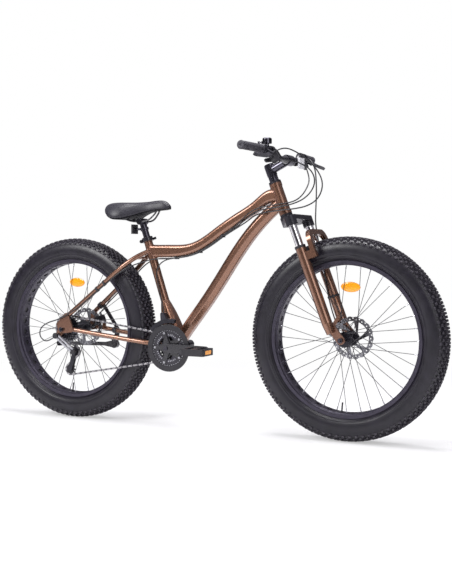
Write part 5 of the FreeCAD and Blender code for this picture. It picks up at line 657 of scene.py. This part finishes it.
REAR_BRAKE = (
    (368, -170.1, 1050), (375, -146, 1056), (384, -112, 1069), (389, -64, 1074), (404, -20, 1064),
    (431, 14, 1041), (474, 24, 996), (503, 4, 943), (495, -22, 890), (458, -38, 862),
    (402, -43, 852), (346, -37, 849), (292, -29, 844), (240, -22, 835), (196, -8, 809),
    (148, 8, 787), (90, 9, 754.8), (40, 9, 721.2), (-10, 9, 694), (-60, 9, 677.6),
    (-115, 10, 669.4), (-168, 16, 667), (-215, 25, 667), (-262, 38, 656), (-312, 63, 632),
    (-350, 71, 600), (-402, 77, 558), (-452, 82, 517), (-498, 86, 479), (-524, 88, 452),
    (-537, 87.2, 438.2))
REAR_SHIFT = (
    (372.4, -123.6, 1032.8), (380, -98, 1031), (396, -64, 1029), (424, -28, 1021), (452, 2, 1000),
    (466, 14, 966), (463, 4, 928), (440, -18, 892), (398, -34, 871), (346, -36, 862),
    (292, -31, 856), (240, -24.5, 847), (196, -18, 818), (148, -2, 787), (90, 0, 754.1),
    (40, 0, 720.5), (-10, 0, 693.3), (-60, 0, 677), (-115, -2, 668.6), (-160, -13, 666),
    (-206, -27, 666), (-256, -40, 652), (-302, -68, 633), (-345, -78, 606), (-402, -86, 560),
    (-455, -92, 519), (-508, -98, 477), (-558, -109, 442), (-612, -117, 415), (-666, -112, 402),
    (-709, -106, 378), (-714, -106, 343), (-685, -109, 322), (-654, -113.5, 329),
    (-632, -115.5, 342.2))
FRONT_SHIFT = (
    (378.7, 144.7, 1015.5), (388, 142, 994), (400, 122, 966), (405, 86, 938), (404, 46, 910),
    (397, 6, 888), (378, -26, 876), (342, -34, 872), (292, -32, 866), (240, -25.5, 857),
    (198, -24, 831), (148, -12, 789), (90, -9, 754.8), (40, -9, 721.2), (-10, -9, 694),
    (-60, -9, 677.6), (-115, -10, 669.4), (-158, -17, 663), (-188, -24, 640), (-197, -24, 600),
    (-183, -25, 548), (-168, -30, 500), (-153.6, -38, 455.1))
FRONT_BRAKE = (
    (368.3, 169.9, 1050), (379, 150, 1055), (402, 133, 1046), (424, 121, 1012), (434, 108, 962),
    (440, 94, 908), (444, 78, 854), (448, 64, 804), (459, 57, 756), (470, 57, 702),
    (481, 57, 642), (494, 58, 577), (504, 60, 522), (517, 65, 468), (529.3, 72.6, 427.8))
HOUSING_RADIUS = 2.5
STEER_BLEND = ((0.4, 0, 0.868), (0.4, 0, 1.010))  # points where the route passes from the frame to the bar
FORK_BLEND = ((0.446, 0, 0.78), (0.43, 0, 1.0))


def route_curve(name, route, radius):
    curve = bpy.data.curves.new(name, "CURVE")
    curve.dimensions = "3D"
    curve.bevel_depth = radius
    curve.bevel_resolution = 4
    curve.resolution_u = 10
    curve.use_fill_caps = True
    spline = curve.splines.new("NURBS")
    spline.points.add(len(route) - 1)
    for point, place in zip(spline.points, route):
        point.co = (*(value * MM for value in place), 1)
    spline.order_u = 3
    spline.use_endpoint_u = True
    return curve


def curve_mesh(name, curve):
    """Mesh of a curve, and the curve's own object removed."""
    carrier = shown(name + "_line", curve)
    bpy.context.view_layer.update()
    graph = bpy.context.evaluated_depsgraph_get()
    data = bpy.data.meshes.new_from_object(carrier.evaluated_get(graph))
    bpy.data.objects.remove(carrier)
    data.name = name
    return data


def housing(name, route, length, bodies, start, end, *replaced):
    line = curve_mesh(name + "_path", route_curve(name + "_path", route, 0))
    data = curve_mesh(name, route_curve(name, route, HOUSING_RADIUS * MM))
    data.shade_smooth()
    data.materials.clear()
    made = piece(name, data, HOUSING, None, "black_plastic", *replaced)
    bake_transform(made)


for name, route, length in (("rear_brake_housing", REAR_BRAKE, 1.564),
                            ("rear_gear_housing", REAR_SHIFT, 1.704),
                            ("front_gear_housing", FRONT_SHIFT, 1.057)):
    housing(name, route, length, ("frame", "steering"), *STEER_BLEND, "frame_cables")
housing("front_brake_housing", FRONT_BRAKE, 0.697, ("lowers", "steering"), *FORK_BLEND,
        "front_brake_cable")


# Cable clips and saddle rails: the small bodies of two replaced CAD nodes

SAME_POINT_DIGITS = 6


def islands(data):
    """Faces of a mesh by the bodies that hang together, joined where points coincide."""
    group = {}
    for v in data.vertices:
        group.setdefault(tuple(round(c, SAME_POINT_DIGITS) for c in v.co), []).append(v.index)
    lead = {i: members[0] for members in group.values() for i in members}
    parent = {i: i for i in lead.values()}

    def root(i):
        while parent[i] != i:
            parent[i] = parent[parent[i]]
            i = parent[i]
        return i

    for face in data.polygons:
        ids = [root(lead[i]) for i in face.vertices]
        for i in ids[1:]:
            parent[root(i)] = root(ids[0])
    found = {}
    for face in data.polygons:
        found.setdefault(root(lead[face.vertices[0]]), []).append(face)
    return found.values()


def small_islands(name, node, axis, limit, look, body):
    """A piece of the bodies of a CAD node that are shorter than a limit along an axis."""
    data = NODES[node].data
    points, faces = [], []
    for part in islands(data):
        spots = [data.vertices[i].co[axis] for face in part for i in face.vertices]
        if max(spots) - min(spots) > limit:
            continue
        seen = {}
        for face in part:
            for i in face.vertices:
                if i not in seen:
                    seen[i] = len(points)
                    points.append(data.vertices[i].co.copy())
            faces.append(tuple(seen[i] for i in face.vertices))
    data = mesh_from(name, points, faces, smooth=False)
    piece(name, data, look, body, "black_plastic", node)


small_islands("cable_clips", "frame_cables", axis=0, limit=0.12, look=PLASTIC, body="frame")
small_islands("saddle_rails", "saddle_frame", axis=1, limit=0.06, look=BLACK, body="seat")


# Chain: links of two plates on rollers and pins, along the CAD model's belt line, in millimetres

PITCH = 12.7
CHAIN_Y = -63.0
CHAIN_PARTS = ("chain_drive", "chain_cage", "chain_return")
DRIVE, CAGE, RETURN = range(len(CHAIN_PARTS))
CHAIN_WHEELS = (  # middle, teeth, way of turning, part of the chain on the wheel and after it
    (BB, 24, 1, DRIVE, DRIVE), (REAR_AXLE, 28, 1, DRIVE, DRIVE),
    (UPPER_JOCKEY, 11, -1, CAGE, CAGE), (LOWER_JOCKEY, 11, 1, CAGE, RETURN))
LINE_STEP = 2
PLATE_RADIUS = 3.9
PLATE_WAIST = 2.9
PLATE_ARC = [math.radians(-100 + 25 * step) for step in range(9)]
PLATE_EDGE = 0.93  # share of the height that the bevelled faces keep
PLATE_BEVEL = 0.3  # share of the thickness
INNER_PLATE = (1.45, 2.3)  # faces from the chain's middle
OUTER_PLATE = (2.4, 3.2)
PIN_RADIUS = 1.9
PIN_END = (2.2, 3.55)
ROLLER_RADIUS = 3.5
ROLLER_HALF = 1.5


def between(a, b, share):
    """Place at a share of the way from one point of the chain to another."""
    return tuple(p + (q - p) * share for p, q in zip(a[:2], b[:2]))


def chain_line():
    """Points of the closed chain line, each with its part and whether it is on a wheel."""
    wheels = [(place.x / MM, place.z / MM, PITCH / (2 * math.sin(math.pi / teeth)), turn)
              for place, teeth, turn, _, _ in CHAIN_WHEELS]
    count = len(wheels)
    arrive, leave = [0] * count, [0] * count
    for i, (u1, v1, r1, t1) in enumerate(wheels):
        u2, v2, r2, t2 = wheels[(i + 1) % count]
        heading = math.atan2(v2 - v1, u2 - u1)
        heading -= math.asin((t2 * r2 - t1 * r1) / math.hypot(u2 - u1, v2 - v1))
        leave[i] = heading - t1 * math.pi / 2
        arrive[(i + 1) % count] = heading - t2 * math.pi / 2
    line = []
    for i, (u, v, r, turn) in enumerate(wheels):
        on_wheel, on_run = CHAIN_WHEELS[i][-2:]
        sweep = (leave[i] - arrive[i]) * turn % (2 * math.pi)
        steps = max(2, round(sweep * r / LINE_STEP))
        for step in range(steps + 1):
            angle = arrive[i] + turn * sweep * step / steps
            line.append((u + r * math.cos(angle), v + r * math.sin(angle), on_wheel, True))
        after = (i + 1) % count
        u2, v2, r2, _ = wheels[after]
        start = line[-1]
        end = (u2 + r2 * math.cos(arrive[after]), v2 + r2 * math.sin(arrive[after]))
        steps = max(2, round(math.dist(start[:2], end) / LINE_STEP))
        line += [(*between(start, end, step / steps), on_run, False) for step in range(1, steps)]
    return line


def chain_joints():
    """Joints at even steps along the chain line, an even number of them."""
    line = chain_line()
    lengths = [math.dist(a[:2], b[:2]) for a, b in zip(line, line[1:] + line[:1])]
    total = sum(lengths)
    count = 2 * round(total / PITCH / 2)
    joints = []
    for number in range(count):
        target = total * number / count
        index = 0
        while target > lengths[index]:
            target -= lengths[index]
            index += 1
        a, b = line[index], line[(index + 1) % len(line)]
        joints.append((*between(a, b, target / lengths[index]), a[2], a[3] or b[3]))
    return joints


def disc(bm, place, radius, first, last, segments=14):
    turn = Matrix.Rotation(math.pi / 2, 4, "X")
    middle = Vector((place[0], (first + last) / 2, place[1])) * MM
    bmesh.ops.create_cone(bm, cap_ends=True, segments=segments, radius1=radius * MM,
                          radius2=radius * MM, depth=abs(last - first) * MM,
                          matrix=Matrix.Translation(middle) @ turn)


def link_plate(bm, a, b, first, last):
    """Waisted plate between two joints."""
    way = Vector((b[0] - a[0], b[1] - a[1])).normalized()
    side = Vector((-way.y, way.x))
    half = math.dist(a[:2], b[:2]) / 2
    middle = Vector(between(a, b, 0.5))
    outline = []
    for sign in (1, -1):
        for angle in PLATE_ARC:
            u, v = half + PLATE_RADIUS * math.cos(angle), PLATE_RADIUS * math.sin(angle)
            outline.append((sign * u, sign * v))
        outline.append((0, sign * PLATE_WAIST))
    bevel = (last - first) * PLATE_BEVEL
    levels = ((first, PLATE_EDGE), (first + bevel, 1), (last - bevel, 1), (last, PLATE_EDGE))
    rings = []
    for y, shrink in levels:
        spots = [middle + way * u + side * (v * shrink) for u, v in outline]
        rings.append([Vector((p.x, y, p.y)) * MM for p in spots])
    loft(bm, rings)


def chain():
    joints = chain_joints()
    parts = [bmesh.new() for _ in CHAIN_PARTS]
    for number, joint in enumerate(joints):
        after = joints[(number + 1) % len(joints)]
        bm = parts[joint[2]]
        made = len(bm.faces)
        first, last = INNER_PLATE if number % 2 else OUTER_PLATE
        for side in (-1, 1):
            link_plate(bm, joint, after, CHAIN_Y + side * first, CHAIN_Y + side * last)
        for side in (-1, 1):
            disc(bm, joint, PIN_RADIUS, *(CHAIN_Y + side * end for end in PIN_END))
        if not joint[3]:
            disc(bm, joint, ROLLER_RADIUS, CHAIN_Y - ROLLER_HALF, CHAIN_Y + ROLLER_HALF)
        if number % 2:
            bm.faces.ensure_lookup_table()
            for face in bm.faces[made:]:
                face.material_index = 1
    for bm, name in zip(parts, CHAIN_PARTS):
        data = faced(mesh_of(name, bm), smooth=False)
        made = piece(name, data, CHAIN, None, "steel", "chain")
        data.materials.append(DARK_STEEL)
        if name == "chain_return":
            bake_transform(made)
        else:
            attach(made, "frame" if name == "chain_drive" else "cage")


chain()


# Chainset face: spider arms over the rings, their bolts, and bright tooth tips, in millimetres. The
# tips between the arms are also painted glints.

RING_FACE = -78.0
GUARD_FACE = -81.0
ARMS = 5
ARM_FACE = GUARD_FACE + 0.3
ARM_EDGE = ((15, 12), (30, 9), (48, 8))  # along the arm and half its width
ARM_END = (9, 8.5)  # half axes of its round end, about the bolt
ARM_ARC = (1.4, 0.9, 0.45, 0, -0.45, -0.9, -1.4)
BOLT_CIRCLE = 60
BOLT_RADIUS = 4.4
BOLT_FACES = (GUARD_FACE + 0.4, GUARD_FACE - 0.7)
BOLT_SIDES = 20
OUTER_TIP = ((67.4, 2.1), (70.4, 1.3))  # root and top of a tooth: radius and half width
OUTER_TEETH = 42
OUTER_TIP_HEIGHT = 1.2
# Tips between the arms: bright steel tooth tips that also stand as painted glints
MIDDLE_TIP_GLINT = ((49.5, 2.2), (55, 1.2))
MIDDLE_TEETH = (-2, -1, 0, 1, 2)  # between two arms
MIDDLE_STEP = 0.15  # radians
MIDDLE_TIP_HEIGHT = 0.8
PRISM_BEVEL = 0.3  # share of the height
PRISM_TOP = 0.94  # share of the outline


def prism(bm, outline, first, last):
    """Block between two faces across the bike, with a small chamfer at the last."""
    middle = sum((Vector(p) for p in outline), Vector((0, 0))) / len(outline)
    rings = []
    for y, share in ((first, 1), (last + (first - last) * PRISM_BEVEL, 1), (last, PRISM_TOP)):
        spots = [middle + (Vector(p) - middle) * share for p in outline]
        rings.append([BB + Vector((p.x, y, p.y)) * MM for p in spots])
    loft(bm, rings)


def turned(points, angle):
    c, s = math.cos(angle), math.sin(angle)
    return [(u * c - v * s, u * s + v * c) for u, v in points]


def mirrored(edge):
    return [(u, -v) for u, v in reversed(edge)]


def chainset_face():
    arms, bolts, tips = bmesh.new(), bmesh.new(), bmesh.new()
    arc = [(BOLT_CIRCLE + ARM_END[0] * math.cos(a), ARM_END[1] * math.sin(a)) for a in ARM_ARC]
    arm = [*ARM_EDGE, *arc, *mirrored(ARM_EDGE)]
    outer_tip = [*OUTER_TIP, *mirrored(OUTER_TIP)]
    middle_tip_glint = [*MIDDLE_TIP_GLINT, *mirrored(MIDDLE_TIP_GLINT)]
    for angle in turn_angles(ARMS):
        at_arm = angle + math.pi / ARMS
        prism(arms, turned(arm, at_arm), RING_FACE, ARM_FACE)
        u, v = turned([(BOLT_CIRCLE, 0)], at_arm)[0]
        disc(bolts, (BB.x / MM + u, BB.z / MM + v), BOLT_RADIUS, *BOLT_FACES, BOLT_SIDES)
        # Bright tips between two arms: tooth tips, and painted glints there
        for step in MIDDLE_TEETH:
            outline = turned(middle_tip_glint, angle + MIDDLE_STEP * step)
            prism(tips, outline, RING_FACE, RING_FACE - MIDDLE_TIP_HEIGHT)
    for angle in turn_angles(OUTER_TEETH):
        prism(tips, turned(outer_tip, angle), RING_FACE, RING_FACE - OUTER_TIP_HEIGHT)
    for name, bm, look, slot in (("spider_face", arms, BLACK, "black_paint"),
                                 ("ring_bolts", bolts, STEEL, "steel"),
                                 ("ring_tips_and_glints", tips, STEEL, "steel")):
        piece(name, faced(mesh_of(name, bm), smooth=False), look, "crankset", slot)


chainset_face()


# Weld beads where the frame's tubes meet

WELD_LINES = (  # node, point and way of a tube's axis, its radius, and from where to where
    ("main_frame", HEAD_LOW, STEER_UP, 0.022, 0.014, 0.109),
    ("main_frame", BB, SEAT_UP, 0.0172, 0.21, 0.45),
    ("main_frame", BB, ACROSS, 0.022, -0.048, 0.048),
    ("rear_stays", BB, SEAT_UP, 0.0172, 0.30, 0.45))
ON_TUBE = 0.0005  # room about the tube's radius
EDGE_DIGITS = 5
LEAST_EDGES = 6
BEAD_RADIUS = 0.0021
BEAD_STEP = 0.0022
BEAD_WAIST = 0.72  # share of the radius between two ripples
LEAST_BEADS = 5
CLOSED_WITHIN = 0.001


def bead_lines(node, point, axis, radius, low, high):
    """Edges of a node's faces that lie on a cylinder, strung into lines."""
    data = NODES[node].data
    uses = {}
    for face in data.polygons:
        for key in face.edge_keys:
            uses[key] = uses.get(key, 0) + 1

    def on(i):
        out = data.vertices[i].co - point
        along = out.dot(axis)
        return low < along < high and abs((out - axis * along).length - radius) < ON_TUBE

    links = {}
    for (a, b), count in uses.items():
        if count == 1 and on(a) and on(b):
            p, q = (tuple(round(c, EDGE_DIGITS) for c in data.vertices[i].co) for i in (a, b))
            if p != q:
                links.setdefault(p, set()).add(q)
                links.setdefault(q, set()).add(p)
    lines = []
    while links:
        here = next((p for p in links if len(links[p]) == 1), next(iter(links)))
        line = [here]
        while links.get(here):
            after = links[here].pop()
            links[after].discard(here)
            if not links[here]:
                del links[here]
            line.append(after)
            here = after
        links.pop(here, None)
        if len(line) > LEAST_EDGES:
            lines.append([Vector(p) for p in line])
    return lines


def welds(name, body):
    curve = bpy.data.curves.new(name, "CURVE")
    curve.dimensions = "3D"
    curve.bevel_depth = BEAD_RADIUS
    curve.bevel_resolution = 2
    for source in WELD_LINES:
        for line in bead_lines(*source):
            even = [line[0]]
            for spot in line[1:]:
                if (spot - even[-1]).length > BEAD_STEP:
                    even.append(spot)
            if len(even) < LEAST_BEADS:
                continue
            spline = curve.splines.new("POLY")
            spline.points.add(len(even) - 1)
            spline.use_cyclic_u = (line[0] - line[-1]).length < CLOSED_WITHIN
            for index, (point, place) in enumerate(zip(spline.points, even)):
                point.co = (*place, 1)
                point.radius = 1 if index % 2 else BEAD_WAIST
    data = curve_mesh(name, curve)
    data.materials.clear()
    data.shade_smooth()
    piece(name, data, WELD, body, "bronze_paint")


welds("frame_welds", "frame")


# Materials of the CAD nodes, in metres

FINISHES = {
    BRONZE: "main_frame rear_stays",
    BLACK: "seat_collar kickstand_bracket kickstand_leg right_crank left_crank handlebar",
    ALLOY: "fork_crown bearing_cups seat_quick_release bar_clamps right_brake_lever "
           "left_brake_lever front_derailleur_cage rear_derailleur_cage",
    RIM: "front_rim rear_rim",
    GLOSS: "bell seatpost stem",
    DARK_STEEL: "front_axle rear_axle crank_spindle bell_striker front_caliper rear_caliper "
                "front_derailleur",
    STEEL: "front_caliper_arm rear_caliper_arm",
    CHROME: "stanchions",
    PLASTIC: "shifters right_shift_lever left_shift_lever upper_jockey_wheel lower_jockey_wheel "
             "front_inner_tube rear_inner_tube rear_reflector",
    CLEAR: "front_reflector",
}
WHEELS = (("front", FRONT_AXLE, 0.0575), ("rear", REAR_AXLE, 0.072))  # with the rotor's y
NIPPLES_FROM = 0.2555  # radius in the wheel
ROTOR_FROM = 0.0165
ROTOR_HALF = 0.0012
ROTOR_BOLTS = 0.006  # past the rotor's middle
REFLECTOR_LOOK = 0.8  # cosine of the angle to the reflector's face
LAST_COG_Y = -0.0805
GUARD_Y = -0.0775
GUARD_FROM = 0.069
LINKS = (0.25, 0.72)  # shares of the way from the hanger bolt to the upper jockey wheel
WIPER_LOW = -0.1522  # along the steering axis
WIPER_RADIUS = 0.0212
LEG_BANDS = (0.225, 0.345)  # below the head tube
BAND_HALF = 0.0045
BAND_RADII = (0.0196, 0.034)
PEDAL_LENS_DEPTH = 0.0042
PEDAL_LENS_HALF = (0.0235, 0.0072)


def paint(node, main, *rules):
    """Materials of a CAD node: a rule is a material and a test of a face's middle."""
    data = NODES[node].data
    data.materials.clear()
    for look in (main, *(look for look, _ in rules)):
        data.materials.append(look)
    for face in data.polygons:
        hits = (index for index, (_, test) in enumerate(rules, 1) if test(face.center))
        face.material_index = next(hits, 0)


def facing(node, look, way):
    """The faces of a node that look one way, in a second material."""
    data = NODES[node].data
    data.materials.append(look)
    for face in data.polygons:
        if face.normal.dot(way) > REFLECTOR_LOOK:
            face.material_index = 1


def radius_from(axle, spot):
    return math.hypot(spot.x - axle.x, spot.z - axle.z)


def up_steerer(spot):
    return (spot - HEAD_LOW).dot(STEER_UP)


def from_leg(spot):
    """Distance from the nearer fork leg's axis."""
    out = spot - HEAD_LOW
    return math.hypot(out.dot(STEER_AHEAD) - LEG_AHEAD, abs(spot.y) - LEG_Y)


def on_guard(spot):
    return spot.y < GUARD_Y and radius_from(BB, spot) > GUARD_FROM


def on_links(spot):
    way = UPPER_JOCKEY - DERAILLEUR_BOLT
    return LINKS[0] < (spot - DERAILLEUR_BOLT).dot(way) / way.length_squared < LINKS[1]


def on_wiper(spot):
    return up_steerer(spot) > WIPER_LOW and from_leg(spot) < WIPER_RADIUS


def on_band(spot):
    beside = min(abs(up_steerer(spot) + band) for band in LEG_BANDS)
    return spot.y > 0 and BAND_RADII[0] < from_leg(spot) < BAND_RADII[1] and beside < BAND_HALF


def paint_wheel(end, axle, rotor):
    def on_rotor(spot):
        return abs(spot.y - rotor) < ROTOR_HALF and radius_from(axle, spot) > ROTOR_FROM

    def on_bolts(spot):
        return 0 < spot.y - rotor < ROTOR_BOLTS and radius_from(axle, spot) > ROTOR_FROM

    paint(end + "_hub", ALLOY, (ROTOR, on_rotor), (DARK_STEEL, on_bolts))
    paint(end + "_spokes", SPOKE, (NIPPLE, lambda spot: radius_from(axle, spot) > NIPPLES_FROM))


def paint_pedal(node):
    low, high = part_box(node)
    middle = (low.y + high.y) / 2
    wide, tall = PEDAL_LENS_HALF

    def on_lens(spot):
        return (min(spot.x - low.x, high.x - spot.x) < PEDAL_LENS_DEPTH
                and abs(spot.y - middle) < wide and abs(spot.z - BB.z) < tall)

    paint(node, PLASTIC, (AMBER, on_lens))


for look, names in FINISHES.items():
    for node in names.split():
        paint(node, look)
for wheel in WHEELS:
    paint_wheel(*wheel)
for node in ("right_pedal", "left_pedal"):
    paint_pedal(node)
facing("rear_reflector", RED, Vector((-1, 0, 0)))
paint("cassette", ROTOR, (DARK_STEEL, lambda spot: spot.y < LAST_COG_Y))
paint("chainrings", DARK_STEEL, (PLASTIC, on_guard))
paint("rear_derailleur", PLASTIC, (STEEL, on_links))
paint("fork_lowers", BRONZE, (PLASTIC, on_wiper), (PLASTIC, on_band))


# Stage, light and camera

FLOOR_HALF = 30
FLOOR_DROP = 0.0005  # below the tires
FLOOR_COLOR = (0.86, 0.86, 0.87)
GLOW_RANGE = (0.9, 2.6)  # distance over which the floor turns white to the camera
GLOW_SHARES = (0.45, 1.0)
ROOM_HEIGHTS = (0.15, 0.85)
ROOM_SHADES = (0.045, 0.60)
ROOM_TINT = (0.97, 0.93, 1.04)
WHITE = (1, 1, 1, 1)
LAMPS = (  # name, place, target, size, power
    ("key", (-1.8, -3.2, 2.7), (0, 0, 0.5), 2.0, 135),
    ("fill", (3.2, -2.6, 1.9), (0.2, 0, 0.5), 2.2, 30),
    ("top", (0.3, 0.0, 3.5), (0.1, 0, 0.4), 2.2, 130))
CAMERA_PLACE = (1.7809, -3.3490, 0.6951)
CAMERA_DOWN = 2.40  # degrees below the level
CAMERA_TURN = 26.61
CAMERA_LENS = 59.52
CAMERA_SENSOR = 36


def lamp(name, place, target, size, power):
    light = bpy.data.lights.new(name, "AREA")
    light.shape = "DISK"
    light.size = size
    light.energy = power
    made = shown(name, light)
    made.location = place
    way = Vector(target) - Vector(place)
    made.rotation_euler = way.to_track_quat("-Z", "Y").to_euler()


def floor():
    """Pale floor that takes shadows near the bike and fades to white for the camera."""
    corners = [(x * FLOOR_HALF, y * FLOOR_HALF, 0) for x, y in ((-1, -1), (1, -1), (1, 1), (-1, 1))]
    data = mesh_from("floor", corners, [(0, 1, 2, 3)], smooth=False)
    made = shown("floor", data)
    made.location.z = -FLOOR_DROP
    look = Look("pale_floor", FLOOR_COLOR, rough=0.85)
    glow = look.node("ShaderNodeEmission", {"Color": WHITE})
    distance = look.node("ShaderNodeVectorMath", {0: look.place}, operation="LENGTH")
    limits = dict(zip(("From Min", "From Max", "To Min", "To Max"), GLOW_RANGE + GLOW_SHARES))
    fade = look.node("ShaderNodeMapRange", {"Value": distance.outputs["Value"], **limits},
                     interpolation_type="SMOOTHSTEP")
    seen = look.node("ShaderNodeLightPath").outputs["Is Camera Ray"]
    share = look.node("ShaderNodeMath", {0: seen, 1: fade.outputs["Result"]}, operation="MULTIPLY")
    mix = look.node("ShaderNodeMixShader", {
        "Fac": share.outputs["Value"], 1: look.shader.outputs["BSDF"], 2: glow.outputs["Emission"]})
    wire(look.tree, look.tree.nodes["Material Output"], {"Surface": mix.outputs["Shader"]})
    data.materials.append(look.material)


def world():
    """White to the camera; to the bike a dim room that brightens overhead."""
    made = bpy.data.worlds.new("studio")
    bpy.context.scene.world = made
    made.use_nodes = True
    tree = made.node_tree
    place = add_node(tree, "ShaderNodeTexCoord").outputs["Generated"]
    height = add_node(tree, "ShaderNodeSeparateXYZ", {"Vector": place}).outputs["Z"]
    shades = [[shade * tint for tint in ROOM_TINT] for shade in ROOM_SHADES]
    room = tree.nodes["Background"]
    wire(tree, room, {"Color": add_ramp(tree, height, ROOM_HEIGHTS, shades)})
    white = add_node(tree, "ShaderNodeBackground", {"Color": WHITE})
    rays = add_node(tree, "ShaderNodeLightPath").outputs
    sides = {0: rays["Is Camera Ray"], 1: rays["Is Transmission Ray"]}
    seen = add_node(tree, "ShaderNodeMath", sides, operation="MAXIMUM")
    mix = add_node(tree, "ShaderNodeMixShader", {
        "Fac": seen.outputs["Value"],
        1: room.outputs["Background"], 2: white.outputs["Background"]})
    wire(tree, tree.nodes["World Output"], {"Surface": mix.outputs["Shader"]})


def camera():
    lens = bpy.data.cameras.new("photo_camera")
    lens.lens = CAMERA_LENS
    lens.sensor_width = CAMERA_SENSOR
    made = shown("photo_camera", lens)
    made.location = CAMERA_PLACE
    made.rotation_euler = (math.radians(90 - CAMERA_DOWN), 0, math.radians(CAMERA_TURN))
    bpy.context.scene.camera = made


floor()
world()
for row in LAMPS:
    lamp(*row)
camera()
bpy.context.scene.view_settings.view_transform = "Standard"
